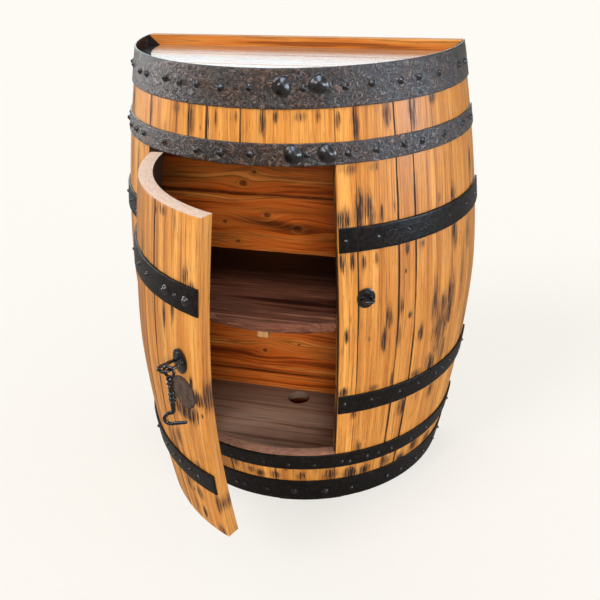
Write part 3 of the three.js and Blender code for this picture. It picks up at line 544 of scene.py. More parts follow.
def buildStave(name, left, right, low, high, darkness, body, number, ends):
    # outer and inner face: the angle runs between the stave's two edges, the height between its ends,
    # and the radius follows the cask less the edges' rounding
    v = stavePiece
    middle = (low + high) / 2
    width = (right(outerRadius(middle)) - left(outerRadius(middle))) * outerRadius(middle)
    across, acrossDrop = edgeLine(width, v["acrossStep"], v["rounding"])
    up, upDrop = edgeLine(high - low, v["upStep"], v["rounding"])
    a, z = np.meshgrid(across, low + up * (high - low), indexing="ij")
    drop = np.maximum(acrossDrop[:, None], upDrop[None, :])
    draw = np.random.default_rng(number + 5)
    sink = draw.uniform(0, 0.0004)
    sheets, maps = [], []
    for radius, shift in ((outerRadius(z) - drop - sink, 0.0), (outerRadius(z) - staveThickness(z) + drop, 0.0215)):
        azimuth = left(radius) + (right(radius) - left(radius)) * a
        sheets.append(onCask(azimuth, radius, z))
        maps.append(np.stack([azimuth * cask["bilge"] + shift + number * v["mapSpread"],
                              z - shift + number * 0.71], -1))
    points, faces, zones = closedShell(*sheets)
    azimuth = left(outerRadius(z)) + (right(outerRadius(z)) - left(outerRadius(z))) * a
    fromLeft, fromRight = a * width, (1 - a) * width
    seam = np.maximum(darkness[0] * np.clip(1.25 - fromLeft / v["seamWidth"], 0, 1),
                      darkness[1] * np.clip(1.25 - fromRight / v["seamWidth"], 0, 1))
    marks = doorMarks if body == "door" else fixedMarks
    stain = markStrength(marks, azimuth, z)
    tone = np.full(2 * stain.size, draw.uniform(0.25, 0.8))
    if body == "door":
        points = swingDoor(points)
    addPiece(name + "_oak", points, faces, body, [staveOak, charredWood, *ends], (name,),
             zones, np.concatenate([m.reshape(-1, 2) for m in maps]),
             {"seam": np.tile(seam.ravel(), 2), "stain": np.tile(stain.ravel(), 2), "tone": tone})


halfGap, halfDoorGap = cask["staveGap"] / 2, cask["doorGap"] / 2
hingeAngle, freeAngle = cask["hingeAngle"], cask["freeAngle"]
lipTop, lintelLow = hoopSpans["lower"][1] - 0.0003, hoopSpans["upper"][0] + 0.0003
doorLow, doorHigh = lipTop + 0.0028, lintelLow - 0.0026
staveRuns = [
    ("stave_left", "cabinet", [None, -75, -57, hingeAngle], (0, -halfDoorGap), 0.0, cask["staveTop"]),
    ("stave_right", "cabinet", [freeAngle, 29.5, 42.3, 48.4, 65.2, 79, None], (halfDoorGap, 0), 0.0,
     cask["staveTop"]),
    ("stave_above_door", "cabinet", [hingeAngle, -20.8, -14.2, -3.2, 4.2, freeAngle],
     (halfGap - halfDoorGap, halfDoorGap - halfGap), lintelLow, cask["staveTop"]),
    ("stave_below_door", "cabinet", [hingeAngle, -26, -14.4, 2.7, freeAngle],
     (halfGap - halfDoorGap, halfDoorGap - halfGap), 0.0, lipTop),
    ("door_stave", "door", [hingeAngle, -20.8, -14.2, -3.2, 4.2, freeAngle], (halfDoorGap, -halfDoorGap), doorLow,
     doorHigh),
]
number = 0
for prefix, body, angles, (insetFirst, insetLast), low, high in staveRuns:
    last = len(angles) - 2
    for k in range(last + 1):
        leftAngle, rightAngle = angles[k], angles[k + 1]
        left = backEdge(-1) if leftAngle is None else edgeAt(leftAngle, insetFirst if k == 0 else halfGap)
        right = backEdge(1) if rightAngle is None else edgeAt(rightAngle, insetLast if k == last else -halfGap)
        darkness = (jointDarkness.get(leftAngle, 0.15), jointDarkness.get(rightAngle, 0.15))
        if body == "door" and k == last:
            darkness = (darkness[0], 0.0)
        endGrain = {"door_stave": paleEnd, "stave_below_door": wornEnd}.get(prefix, darkEndAndShade)
        ends = [staveOak, endGrain]
        buildStave(f"{prefix}_{k + 1}", left, right, low, high, darkness, body, number, ends)
        number += 1
print("staves made:", number)

# ---- hoops with their rivets
hoopPiece = {
    "fit": 0.0003,
    "thickness": 0.004,
    "overlapStep": 0.0011,
    "aroundStep": 0.0042,
    "upStep": 0.0036,
    "rounding": 0.0014,
    "endSetback": 0.0015,
}
rivetSizes = {
    "upperSmall": (0.0062, 0.0044),
    "upperBig": (0.0165, 0.0082),
    "lowerSmall": (0.0046, 0.0034),
    "lowerBig": (0.0090, 0.0056),
}


def domeRing(radius, height, sides, seed):
    # a forged rivet head: the height falls from the crown to a flared foot as half a cosine wave of the
    # share of the radius, and the outline wanders a little
    shares = np.array([1.0, 0.92, 0.80, 0.64, 0.46, 0.24])
    angle = np.arange(sides) / sides * 2 * np.pi
    draw = np.random.default_rng(seed)
    wobble = 1 + 0.05 * np.sin(2 * angle + draw.uniform(0, 6)) + 0.04 * np.sin(3 * angle + draw.uniform(0, 6))
    rings = [np.stack([radius * wobble * np.cos(angle), radius * wobble * np.sin(angle),
                       np.full(sides, -0.0014)], -1)]
    for share in shares:
        size = radius * share * wobble
        lean = 0.05 * height * np.sin(angle + draw.uniform(0, 6))
        tall = height * (0.5 + 0.5 * math.cos(math.pi * share ** 1.35))
        rings.append(np.stack([size * np.cos(angle), size * np.sin(angle), tall + lean * (1 - share)], -1))
    points = np.concatenate([np.concatenate(rings), [[0, 0, -0.0014], [0, 0, height]]])
    return points, len(rings)


def domeFaces(sides, rings):
    k, j = np.meshgrid(np.arange(rings - 1), np.arange(sides), indexing="ij")
    a, b = k * sides + j, k * sides + (j + 1) % sides
    quads = np.stack([a, b, b + sides, a + sides], -1).reshape(-1, 4).tolist()
    base, top = sides * rings, sides * rings + 1
    around = [(j, (j + 1) % sides) for j in range(sides)]
    upper = (rings - 1) * sides
    return quads + [[b, a, base] for a, b in around] + [[upper + a, upper + b, top] for a, b in around]


def buildHoop(name, left, right, low, high, material, slotName, body, seed, small, big, sizes, crease=None,
              hammered=0.0):
    # a band: the angle runs round, the height up, and the radius follows the cask plus the band's
    # thickness, less the rounding at its edges and shallow waves of the hammering
    v = hoopPiece
    middle = (low + high) / 2
    span = (right(outerRadius(middle)) - left(outerRadius(middle))) * outerRadius(middle)
    around, aroundDrop = edgeLine(span, v["aroundStep"], v["rounding"])
    up, upDrop = edgeLine(high - low, v["upStep"], v["rounding"])
    a, u = np.meshgrid(around, up, indexing="ij")
    azimuth = left(outerRadius(middle)) + (right(outerRadius(middle)) - left(outerRadius(middle))) * a
    ragged = hammered * 0.0007 * waves(azimuth * 45, azimuth * 0, seed)
    z = low + u * (high - low) + ragged * (2 * u - 1) * (np.abs(2 * u - 1) > 0.8) * (high < 0.899)
    drop = np.maximum(aroundDrop[:, None], upDrop[None, :])
    beaten = hammered * 0.00045 * (waves(azimuth * 120, z * 330, seed + 1) - 0.9)
    step = np.zeros(azimuth.shape)
    if crease is not None:
        step = -v["overlapStep"] * np.clip((np.degrees(azimuth) - crease[1] - 12 * (u - 1) * crease[2]) / 0.45, 0, 1)
        step = step - v["overlapStep"] * np.clip((crease[0] - np.degrees(azimuth)) / 0.45, 0, 1)
    edge = outerRadius(z) + v["fit"]
    face = edge + v["thickness"] - drop + np.minimum(beaten, 0) + step
    sheets = [onCask(left(face) + (right(face) - left(face)) * a, face, z),
              onCask(left(edge) + (right(edge) - left(edge)) * a, edge + drop * 0.3, z)]
    points, faces, zones = closedShell(*sheets)
    allPoints, allFaces = [points], faces.tolist()
    count, bandFaces = len(points), len(faces)
    for index, (angle, height, kind) in enumerate([(*r, sizes[0]) for r in small] + [(*r, sizes[1]) for r in big]):
        radius, tall = rivetSizes[kind]
        sides = 20 if tall > 0.004 else 14
        dome, rings = domeRing(radius, tall, sides, seed * 100 + index)
        lean = math.atan2(outerRadius(height + 0.001) - outerRadius(height - 0.001), 0.002)
        azimuthHere = math.radians(angle)
        out = np.array([math.sin(azimuthHere), -math.cos(azimuthHere), 0])
        along = np.array([math.cos(azimuthHere), math.sin(azimuthHere), 0])
        rise = np.array([0, 0, 1.0]) * math.cos(lean) + out * math.sin(lean)
        normal = np.cross(along, rise)
        centre = out * (outerRadius(height) + v["fit"] + v["thickness"] - 0.0004) + np.array([0, 0, height])
        allPoints.append(centre + dome @ np.stack([along, rise, normal]))
        allFaces += [[p + count for p in face] for face in domeFaces(sides, rings)]
        count += len(dome)
    points = np.concatenate(allPoints)
    if body == "door":
        points = swingDoor(points)
    zones = (np.arange(len(allFaces)) >= bandFaces).astype(int)
    return addPiece(name + "_band", points, allFaces, body, [material, rivetIron], (name,), zones)


def atHeight(angles, height, seed, wander=0.0018):
    draw = np.random.default_rng(seed)
    return [(angle, height + draw.uniform(-wander, wander)) for angle in angles]


wholeLeft, wholeRight = backEdge(-1), backEdge(1)
setback = halfDoorGap + hoopPiece["endSetback"]
strapLeft = (wholeLeft, edgeAt(hingeAngle, -setback))
strapDoor = (edgeAt(hingeAngle, setback), edgeAt(freeAngle, -setback))
strapRight = (edgeAt(freeAngle, setback), wholeRight)
buildHoop("hoop_1_top", wholeLeft, wholeRight, *hoopSpans["rim"], hammeredIron, "hammered_iron", "cabinet", 11,
          atHeight([-86, -77, -68, -59, -48.8, -43.1, -31.7, -24.7, -17.9, -9.6, -0.5, 15.2, 27.4, 35.5, 45.4,
                    52.5, 61.9, 76.1, 83.3], 0.869, 1),
          [(9, 0.872), (19.7, 0.874)], ("upperSmall", "upperBig"), (2.2, 27.6, 0.0), 1.0)
buildHoop("hoop_2_upper", wholeLeft, wholeRight, *hoopSpans["upper"], hammeredIron, "hammered_iron", "cabinet", 12,
          atHeight([-82, -73, -64, -56, -49, -42.7, -30.7, -17.2, -9, -0.2, 15.9, 27.5, 35.9, 45.1, 51.9,
                    62.1, 74.7, 84], 0.7645, 2),
          [(12, 0.7655), (21.4, 0.765)], ("upperSmall", "upperBig"), (6.0, 26.5, 0.0), 0.8)
lowerSizes = ("lowerSmall", "lowerBig")
leftAngles = [-84, -74, -64, -55, -48]
for name, run, body, small, big in (
    ("hoop_3_left", strapLeft, "cabinet", leftAngles, []),
    ("hoop_3_door", strapDoor, "door", [-28, -17, -6, 0.8, 15.3], [11, 19.2]),
    ("hoop_3_right", strapRight, "cabinet", [26, 35.6, 45.3, 52, 62.7, 74.2, 84.4], []),
):
    buildHoop(name, *run, *hoopSpans["aboveShelf"], smoothIron, "smooth_iron", body, 13, atHeight(small, 0.615, 3),
              atHeight(big, 0.612, 4), lowerSizes, None, 0.5)
for name, run, body, small in (
    ("hoop_4_left", strapLeft, "cabinet", leftAngles),
    ("hoop_4_door", strapDoor, "door", [-28, -19, -10, -0.5, 4.7, 8.6, 13.3, 17.1]),
    ("hoop_4_right", strapRight, "cabinet", [25.8, 34.6, 44.7, 52.6, 61.3, 65.1, 70.6, 79, 86]),
):
    buildHoop(name, *run, *hoopSpans["belowShelf"], smoothIron, "smooth_iron", body, 14, atHeight(small, 0.272, 5), [],
              lowerSizes, None, 0.3)
buildHoop("hoop_5_lower", wholeLeft, wholeRight, *hoopSpans["lower"], smoothIron, "smooth_iron", "cabinet", 15,
          atHeight([-80, -69, -57, -45, -33, -22, -13.1, -8.9, -1.2, 7.6, 16.5, 26.1, 28.8, 35.4, 39.7, 45.2,
                    54.5, 63.6, 76, 85], 0.1145, 6), [], lowerSizes, None, 0.3)
buildHoop("hoop_6_bottom", wholeLeft, wholeRight, *hoopSpans["foot"], smoothIron, "smooth_iron", "cabinet", 16,
          atHeight([-83, -72, -60, -48, -36, -24, -14, -10.4, -1.1, 30.6, 46, 52.7, 61.8, 67.4, 77, 85], 0.028, 7),
          [(9.1, 0.031), (20.6, 0.030)], lowerSizes, (3.3, 27, 0.0), 0.3)
print("hoops made")

# ---- boards
boardPiece = {"step": 0.006, "rounding": 0.0012, "inset": 0.0009}


def innerRadius(z):
    return outerRadius(z) - staveThickness(z) - boardPiece["inset"] - 0.0004


def innerStraight(z):
    # the inner side of the CAD staves runs straight between these heights
    marks = np.linspace(0, cask["staveTop"], 13)
    return np.interp(z, marks, innerRadius(marks))


# knots in the back boards: x, z, radius in metres
backKnots = [(-0.131, 0.594, 0.013), (-0.105, 0.621, 0.008), (-0.080, 0.524, 0.011), (-0.179, 0.502, 0.009),
             (-0.010, 0.496, 0.013), (-0.151, 0.456, 0.008), (0.010, 0.462, 0.004), (-0.014, 0.199, 0.007),
             (-0.100, 0.174, 0.010), (0.190, 0.650, 0.011), (0.180, 0.510, 0.010), (0.230, 0.300, 0.012),
             (0.110, 0.260, 0.011), (0.0, 0.80, 0.012), (-0.190, 0.72, 0.009), (0.100, 0.050, 0.010),
             (-0.100, 0.040, 0.009)]


def buildBackBoard(name, low, high):
    # an upright board: x runs from side to side within the staves, z up, front and back face apart in y
    v = boardPiece
    wide = 2 * float(innerStraight((low + high) / 2))
    across, acrossDrop = edgeLine(wide, v["step"], v["rounding"])
    up, upDrop = edgeLine(high - low, v["step"], v["rounding"])
    s, z = np.meshgrid(across * 2 - 1, low + up * (high - low), indexing="ij")
    drop = np.maximum(acrossDrop[:, None], upDrop[None, :])
    x = s * innerStraight(z)
    half = cask["backPlane"]
    front = np.stack([x, -half + drop, z], -1)
    back = np.stack([x, half - drop, z], -1)
    points, faces, zones = closedShell(back, front)
    flow, knot = z.copy(), np.zeros(x.shape)
    for kx, kz, kr in backKnots:
        dx, dz = (x - kx) / (kr * 5.0), (z - kz) / (kr * 2.6)
        near = np.exp(-(dx ** 2 + dz ** 2))
        flow = flow - (z - kz) * near * 0.85
        knot = np.maximum(knot, 1.2 * np.exp(-0.7 * (((x - kx) / kr) ** 2 + ((z - kz) / (kr * 0.75)) ** 2)))
    smear = 0.85 * np.exp(-(((x + 0.065) / 0.10) ** 2 + ((z - 0.495 + 0.1 * x) / 0.013) ** 2) ** 2)
    smear = smear + 0.6 * np.exp(-(((x + 0.29) / 0.07) ** 2 + ((z - 0.60) / 0.022) ** 2))
    smear = smear + 0.45 * np.exp(-(((x + 0.02) / 0.10) ** 2 + ((z - 0.535) / 0.008) ** 2))
    smear = smear + 0.5 * np.exp(-(((x - 0.06) / 0.06) ** 2 + ((z - 0.476) / 0.010) ** 2))
    seat = np.exp(-((z - low) / 0.003) ** 2) + np.exp(-((high - z) / 0.003) ** 2)
    smear = np.clip(smear + 0.8 * seat, 0, 1)
    grain = np.stack([x + low * 3, z], -1)
    flow = flow + low * 2.0
    addPiece(name + "_pine", points, faces, "cabinet", [backPine], (name,), None,
             np.tile(grain.reshape(-1, 2), (2, 1)),
             {"flow": np.tile(flow.ravel(), 2), "knot": np.tile(knot.ravel(), 2), "smear": np.tile(smear.ravel(), 2)})


backHeights = [0, 0.115, 0.430, 0.570, 0.862]
for k in range(4):
    buildBackBoard(f"back_board_{k + 1}", backHeights[k], backHeights[k + 1] - 0.0005)


def buildHalfRound(name, low, high, radius, near, far, material, rounding, columns=120, rows=44):
    # a flat board: a goes along the back line and the arc together, b from the line to the arc
    first = math.asin(near / radius)
    a = np.sin(np.linspace(-1, 1, columns) * np.pi / 2 * 0.985) / math.sin(np.pi / 2 * 0.985)
    b, bDrop = edgeLine(far - near, (far - near) / rows, rounding)
    aDrop = rounding * np.clip(1 - (1 - np.abs(a)) * radius / rounding, 0, 1)
    whole = far >= radius
    if whole:
        turn = np.pi / 2 - first - 0.035
        arc = np.stack([radius * np.sin(a * turn), -radius * np.cos(a * turn)], -1)
        line = np.stack([a * radius * math.cos(first), np.full(columns, -near)], -1)
    else:
        last = math.asin(far / radius)
        arc = np.stack([a * radius * math.cos(last), np.full(columns, -far)], -1)
        line = np.stack([a * radius * math.cos(first), np.full(columns, -near)], -1)
    plan = line[:, None] + (arc - line)[:, None] * b[None, :, None]
    if not whole:
        plan[..., 0] = a[:, None] * np.sqrt(radius ** 2 - plan[..., 1] ** 2)
    drop = np.maximum(aDrop[:, None], bDrop[None, :])
    upper = np.concatenate([plan, (high - drop)[..., None]], -1)
    lower = np.concatenate([plan, (low + drop)[..., None]], -1)
    points, faces, zones = closedShell(upper, lower)
    return addPiece(name + "_board", points, faces, "cabinet", [material], (name,))


topRadius = float(innerStraight(cask["staveTop"]))
topBoards = {"top": 0.8815, "thickness": 0.02, "near": 0.0093, "depthShares": (0.311, 0.328), "gap": 0.0005}
bottomBoards = {"top": 0.071, "thickness": 0.02, "near": 0.0093, "depthShares": (0.23, 0.35), "gap": 0.0005}


def boardSeams(v, radius):
    # where each board begins and ends, counted from the back
    starts = [v["near"]]
    for share in v["depthShares"]:
        starts.append(starts[-1] + share * radius)
    return list(zip(starts, [start - v["gap"] for start in starts[1:]] + [radius]))


for k, (near, far) in enumerate(boardSeams(topBoards, topRadius)):
    buildHalfRound(f"top_board_{k + 1}", topBoards["top"] - topBoards["thickness"], topBoards["top"], topRadius,
                   near, far, topOak, 0.0008, rows=20)
shelfPiece = {"low": 0.417, "high": 0.4375, "setback": 0.0176, "near": 0.0093, "rounding": 0.003}
shelfRadius = float(outerRadius(shelfPiece["low"]) - staveThickness(shelfPiece["low"])) - shelfPiece["setback"]
buildHalfRound("shelf", shelfPiece["low"], shelfPiece["high"], shelfRadius, shelfPiece["near"], shelfRadius,
               shelfOak, shelfPiece["rounding"], rows=60)
for name, material in (("bottom_board_1", greyOak), ("bottom_board_2", greyOak), ("bottom_board_3", greyOak),
                       ("back_rail", railPine), ("shelf_bearer", freshPine),
                       ("shelf_cleat_left", plainPine), ("shelf_cleat_right", plainPine)):
    nodes[name].data.materials.clear()
    nodes[name].data.materials.append(material)
# near-black blocks on the stave tops at each end of the back rail, reaching up to the rim: painted shade filling the
# corner between the rail's end and the hoop
railEndShade = {"low": 0.0008, "high": 0.8990, "half": 0.0085, "rows": 6}
for side, name in ((-1, "left"), (1, "right")):
    v = railEndShade
    s, t = np.meshgrid(np.linspace(0, 1, v["rows"]), np.linspace(cask["staveTop"] + v["low"], v["high"], v["rows"]),
                       indexing="ij")
    innerX, outerX = float(innerStraight(cask["staveTop"])) - 0.0002, outerRadius(t) - 0.0004
    x = side * (innerX + (outerX - innerX) * s)
    points, faces, zones = closedShell(np.stack([x, 0 * x - v["half"], t], -1), np.stack([x, 0 * x + v["half"], t], -1))
    addPiece(f"rail_end_shade_{name}", points, faces, "cabinet", [darkEndAndShade])
for name in nodes:
    if "hinge" in name:
        nodes[name].data.materials.clear()
        nodes[name].data.materials.append(blackIron)
print("boards made")

# ---- bung, sealed flush in the door
bungPiece = {"angle": 16.0, "height": 0.444, "radius": 0.0298, "proud": 0.0004, "deep": 0.019}


def makeBung():
    # end grain of the bung: rings round a heart off its centre
    material, tree, shader = newMaterial("bungEndGrain", specular=0.35)
    uv = grainVector(tree, True)
    warp = stretched(tree, uv, (60, 60, 1), 3)
    split = addNode(tree, "ShaderNodeSeparateXYZ", {0: uv})
    x = maths(tree, "ADD", split.outputs[0], 0.011)
    y = maths(tree, "ADD", split.outputs[1], 0.006)
    distance = maths(tree, "SQRT", maths(tree, "ADD", maths(tree, "MULTIPLY", x, x), maths(tree, "MULTIPLY", y, y)))
    rings = maths(tree, "SINE", maths(tree, "ADD", maths(tree, "MULTIPLY", distance, 1900.0),
                                      maths(tree, "MULTIPLY", warp, 9.0)))
    cloud = stretched(tree, uv, (90, 90, 1), 5, 0.65, offset=(3, 3, 0))
    colour = ramp(tree, cloud, [(0.30, (0.040, 0.024, 0.017)), (0.55, (0.115, 0.070, 0.045)),
                                (0.75, (0.20, 0.125, 0.080))])
    colour = blend(tree, spread(tree, rings, 0.0, 1.0, 0.0, 0.4), colour, (0.035, 0.020, 0.014))
    rim = maths(tree, "SQRT", maths(tree, "ADD", maths(tree, "POWER", split.outputs[0], 2.0),
                                    maths(tree, "POWER", split.outputs[1], 2.0)))
    colour = blend(tree, spread(tree, rim, 0.0265, 0.0295, 0.0, 0.85), colour, (0.012, 0.008, 0.006))
    tree.links.new(colour, shader.inputs["Base Color"])
    shader.inputs["Roughness"].default_value = 0.6
    raise_(tree, shader, maths(tree, "ADD", cloud, maths(tree, "MULTIPLY", rings, 0.2)), 0.0008, 0.6)
    return material


def buildBung():
    # a round plug: x and y in its face from the radius and turn, its face lying on the cask's curve
    v = bungPiece
    turn = np.linspace(0, 2 * np.pi, 49)[:-1]
    shares = np.array([1.0, 1.0, 0.985, 0.95, 0.8, 0.6, 0.4, 0.2, 0.04])
    depth = np.array([-v["deep"], -0.0008, 0.0, v["proud"], v["proud"], v["proud"], v["proud"], v["proud"],
                      v["proud"]])
    x = v["radius"] * shares[:, None] * np.cos(turn)
    y = v["radius"] * shares[:, None] * np.sin(turn)
    azimuth = math.radians(v["angle"]) + x / outerRadius(v["height"])
    z = v["height"] + y
    points = onCask(azimuth, outerRadius(z) + depth[:, None], z).reshape(-1, 3)
    rows, columns = len(shares), len(turn)
    k, j = np.meshgrid(np.arange(rows - 1), np.arange(columns), indexing="ij")
    a, b = k * columns + j, k * columns + (j + 1) % columns
    faces = np.stack([a, b, b + columns, a + columns], -1).reshape(-1, 4).tolist()
    faces += [list(range(columns))[::-1], list(range((rows - 1) * columns, rows * columns))]
    uv = np.stack([x, y], -1).reshape(-1, 2)
    addPiece("bung_plug_wood", swingDoor(points), faces, "door", [makeBung()], ("bung_plug",), None, uv)


buildBung()
print("bung made")

# ---- latch: forged rods swept along flat paths
latch = {
    "height": 0.502,
    "stapleAngle": 15.9,
    "catchAngle": 31.7,
    "plateGap": 0.0003,
    "plate": 0.003,
    "rod": 0.003,
    "stapleSpacing": 0.018,
    "stapleReach": 0.042,
    "catchSpacing": 0.017,
    "catchReach": 0.024,
    "corner": 0.006,
    "eyeReach": 0.029,
    "eyeCore": 0.009,
    "eyeRod": 0.0025,
    "eyeSeatGap": 0.0007,
    "hookBend": 0.0105,
    "hookStraight": 0.005,
    "hookTip": 0.020,
    "restAngle": 34.0,
}


def sweep(path, radii, side, sides=16, squash=1.0, closed=False):
    # a tube: at each place of a flat path, a ring in the plane of the path's own normal and a fixed side
    path, radii = np.asarray(path, float), np.asarray(radii, float)
    ahead = np.roll(path, -1, 0) - np.roll(path, 1, 0) if closed else np.gradient(path, axis=0)
    if not closed:
        still = np.linalg.norm(ahead, axis=1) < 1e-9
        ahead[still] = path[-1] - path[0]
    ahead /= np.linalg.norm(ahead, axis=1, keepdims=True)
    side = np.asarray(side, float)
    other = np.cross(ahead, side)
    turn = np.arange(sides) / sides * 2 * np.pi
    ring = np.cos(turn)[None, :, None] * side[None, None, :] * squash + np.sin(turn)[None, :, None] * other[:, None]
    points = (path[:, None] + ring * radii[:, None, None]).reshape(-1, 3)
    rows = len(path)
    k, j = np.meshgrid(np.arange(rows if closed else rows - 1), np.arange(sides), indexing="ij")
    a, b = k * sides + j, k * sides + (j + 1) % sides
    up = sides if not closed else None
    c, d = (b + sides) % len(points), (a + sides) % len(points)
    faces = np.stack([a, b, c, d], -1).reshape(-1, 4).tolist()
    if not closed:
        faces += [list(range(sides))[::-1], list(range((rows - 1) * sides, rows * sides))]
    return points, faces


def joinParts(parts):
    points, faces, count = [], [], 0
    for p, f in parts:
        tri = np.array([[face[0], face[i], face[i + 1]] for face in f for i in range(1, len(face) - 1)])
        volume = np.einsum("ij,ij->", p[tri[:, 0]], np.cross(p[tri[:, 1]], p[tri[:, 2]]))
        points.append(p)
        faces += [[q + count for q in (face if volume > 0 else face[::-1])] for face in f]
        count += len(p)
    return np.concatenate(points), faces


def roundedPath(corners, radii, step=0.0012):
    # straight runs between corner points, with each corner turned on an arc of its own radius
    path = [np.asarray(corners[0], float)]
    for k in range(1, len(corners) - 1):
        here, before, after = (np.asarray(corners[i], float) for i in (k, k - 1, k + 1))
        inWay, outWay = (here - before), (after - here)
        inWay, outWay = inWay / np.linalg.norm(inWay), outWay / np.linalg.norm(outWay)
        angle = math.acos(np.clip(inWay @ outWay, -1, 1))
        reach = radii[k - 1] * math.tan(angle / 2)
        start = here - inWay * reach
        bend = outWay - inWay * (inWay @ outWay)
        bend = bend / np.linalg.norm(bend)
        for turn in np.linspace(0, angle, max(5, int(radii[k - 1] * angle / step))):
            path.append(start + radii[k - 1] * (inWay * math.sin(turn) + bend * (1 - math.cos(turn))))
    path.append(np.asarray(corners[-1], float))
    dense = [path[0]]
    for p in path[1:]:
        gap = np.linalg.norm(p - dense[-1])
        pieces = max(1, int(round(gap / step)))
        dense += [dense[-1] + (p - dense[-1]) * (i + 1) / pieces for i in range(pieces)]
    return np.array(dense)


def roundEnds(path, radius, start=True, end=True):
    # the radius along a path, closing to a half ball at an end
    along = np.concatenate([[0], np.cumsum(np.linalg.norm(np.diff(path, axis=0), axis=1))])
    radii = np.full(len(path), radius)
    for use, distance in ((start, along), (end, along[-1] - along)):
        if use:
            near = np.clip(distance / radius, 0, 1)
            radii = np.minimum(radii, radius * np.sqrt(np.clip(1 - (1 - near) ** 2, 0.004, 1)))
    return radii


latchOuter = float(outerRadius(latch["height"]))
outwardWay = np.array([0.0, -1.0, 0.0])


def plateAndRod(width, height, spacing, reach):
    v = latch
    back = latchOuter + v["plateGap"]
    s = np.array([back, back, back + 0.0022, back + v["plate"], back + v["plate"] + 0.0004,
                  back + v["plate"] + 0.0006])
    size = np.array([0.02, 1.0, 1.0, 0.93, 0.5, 0.02]) * height / 2
    plate = sweep(np.outer(s, outwardWay) + [[0, 0, 0]], size, (0, 0, 1), 40)
    flat = plate[0].copy()
    flat[:, 0] *= width / height
    half, root = spacing / 2, back + v["plate"] / 2
    bow = latchOuter + reach - v["rod"]
    path = roundedPath([(-half, -root, 0), (-half, -bow, 0), (half, -bow, 0), (half, -root, 0)],
                       [v["corner"], v["corner"]])
    rod = sweep(path, np.full(len(path), v["rod"]), (0, 0, 1), 16)
    z = height / 2 - 0.008
    s = back + v["plate"] + np.array([-0.001, 0.0008, 0.0016, 0.0020, 0.0020])
    screw = sweep(np.stack([0 * s, -s, 0 * s + z], -1), [0.0036, 0.0036, 0.0030, 0.0016, 0.0001], (0, 0, 1), 18)
    feet = [sweep(np.stack([0 * s + x, -(s - 0.0004), 0 * s], -1), np.array([1, 1, 0.96, 0.9, 0.8]) * 0.0044,
                  (0, 0, 1), 16) for x in (-half, half)]
    return joinParts([(flat, plate[1]), rod, screw, *feet])


def placeOnCask(points, angle):
    return turnAbout(points, np.zeros(3), angle) + [0, 0, latch["height"]]


points, faces = plateAndRod(0.034, 0.044, latch["stapleSpacing"], latch["stapleReach"])
addPiece("door_staple_iron", swingDoor(placeOnCask(points, latch["stapleAngle"])), faces, "door",
         [blackIron], ("door_staple",))
points, faces = plateAndRod(0.035, 0.039, latch["catchSpacing"], latch["catchReach"])
addPiece("catch_staple_iron", placeOnCask(points, latch["catchAngle"]), faces, "cabinet",
         [blackIron], ("catch_staple",))

pivot = turnAbout(np.array([[latch["stapleSpacing"] / 2, -(latchOuter + latch["eyeReach"]), 0]]), np.zeros(3),
                  latch["stapleAngle"])[0]
holeReach = latchOuter + (latch["plateGap"] + latch["plate"] + latch["catchReach"] - 2 * latch["rod"]) / 2
hole = turnAbout(np.array([[0, -holeReach, 0]]), np.zeros(3), latch["catchAngle"])[0]
hookLength = float(np.linalg.norm(hole - pivot))
facing = math.degrees(math.atan2(*(hole - pivot)[1::-1]))
pivot[2] = latch["height"]


def fromLatch(points, turn):
    # latch coordinates: x towards the catch, z up, the origin where the ring hangs on the staple
    return swingDoor(turnAbout(points, np.zeros(3), facing + turn) + pivot)


drop = latch["eyeCore"] - latch["rod"] - latch["eyeRod"] - latch["eyeSeatGap"]
turn = np.linspace(0, 2 * np.pi, 41)[:-1]
ringPath = np.stack([latch["eyeCore"] * np.sin(turn), 0 * turn, -drop + latch["eyeCore"] * np.cos(turn)], -1)
ring = sweep(ringPath, np.full(40, latch["eyeRod"]), (0, 1, 0), 14, closed=True)
collarTop = -(drop + latch["eyeCore"])
collarEnd = collarTop - latch["eyeRod"] / 2 - 0.012
s = collarTop + (collarEnd - collarTop) * np.array([0, 0.04, 0.14, 0.28, 0.40, 0.62, 0.72, 0.84, 0.97, 1.0, 1.0])
size = 0.006 * np.array([0.3, 0.72, 0.98, 0.98, 0.72, 0.72, 0.96, 1.0, 0.96, 0.85, 0.02])
collar = sweep(np.stack([0 * s, 0 * s, s], -1), size, (0, 1, 0), 18)
points, faces = joinParts([ring, collar])
addPiece("hook_eye_iron", fromLatch(points, 0), faces, "hook_ring", [blackIron], ("hook_eye",))

bendTop = -(hookLength - 2 * latch["hookBend"])
side, tip, bend = -latch["hookStraight"], latch["hookTip"], latch["hookBend"]
shankTop = collarEnd - 0.0003
arc = [(side - bend * math.sin(t), 0, bendTop - bend + bend * math.cos(t)) for t in np.linspace(0, np.pi, 26)]
lower = np.concatenate([roundedPath([(0, 0, bendTop + 0.02), (0, 0, bendTop), arc[0]], [0.0035]),
                        np.array(arc)[1:],
                        roundedPath([arc[-1], (tip, 0, -hookLength)], [])[1:]])
lower = lower[lower[:, 2] < bendTop + 0.0199]
upper = np.stack([np.zeros(90), np.zeros(90), np.linspace(shankTop, bendTop + 0.02, 90)], -1)
path = np.concatenate([upper, lower])
share = np.clip((path[:, 2] - shankTop) / (bendTop - shankTop), 0, 1)
turned = np.interp(share, [0, .04, .06, .26, .29, .34, .37, .42, .45, .50, .53, .56, .59, .63, .9, 1.0],
                   np.array([1, 1, .74, .74, 1, 1, .76, .76, 1, 1, .76, .76, 1, .74, .66, .52]) * 0.0058)
isShank = np.arange(len(path)) < 90
radii = np.where(isShank, turned, np.interp(np.arange(len(path)), [90, 90 + 18], [turned[89], latch["rod"]]))
radii = np.minimum(radii, np.maximum(roundEnds(path, 0.0058, True, False), 0.0058 * 0.2))
radii = np.minimum(radii, np.where(isShank, 1, roundEnds(path, latch["rod"] * 1.001, False, True) +
                                   (1 - np.clip((np.arange(len(path)) - 90) / 18, 0, 1)) * 0.003))
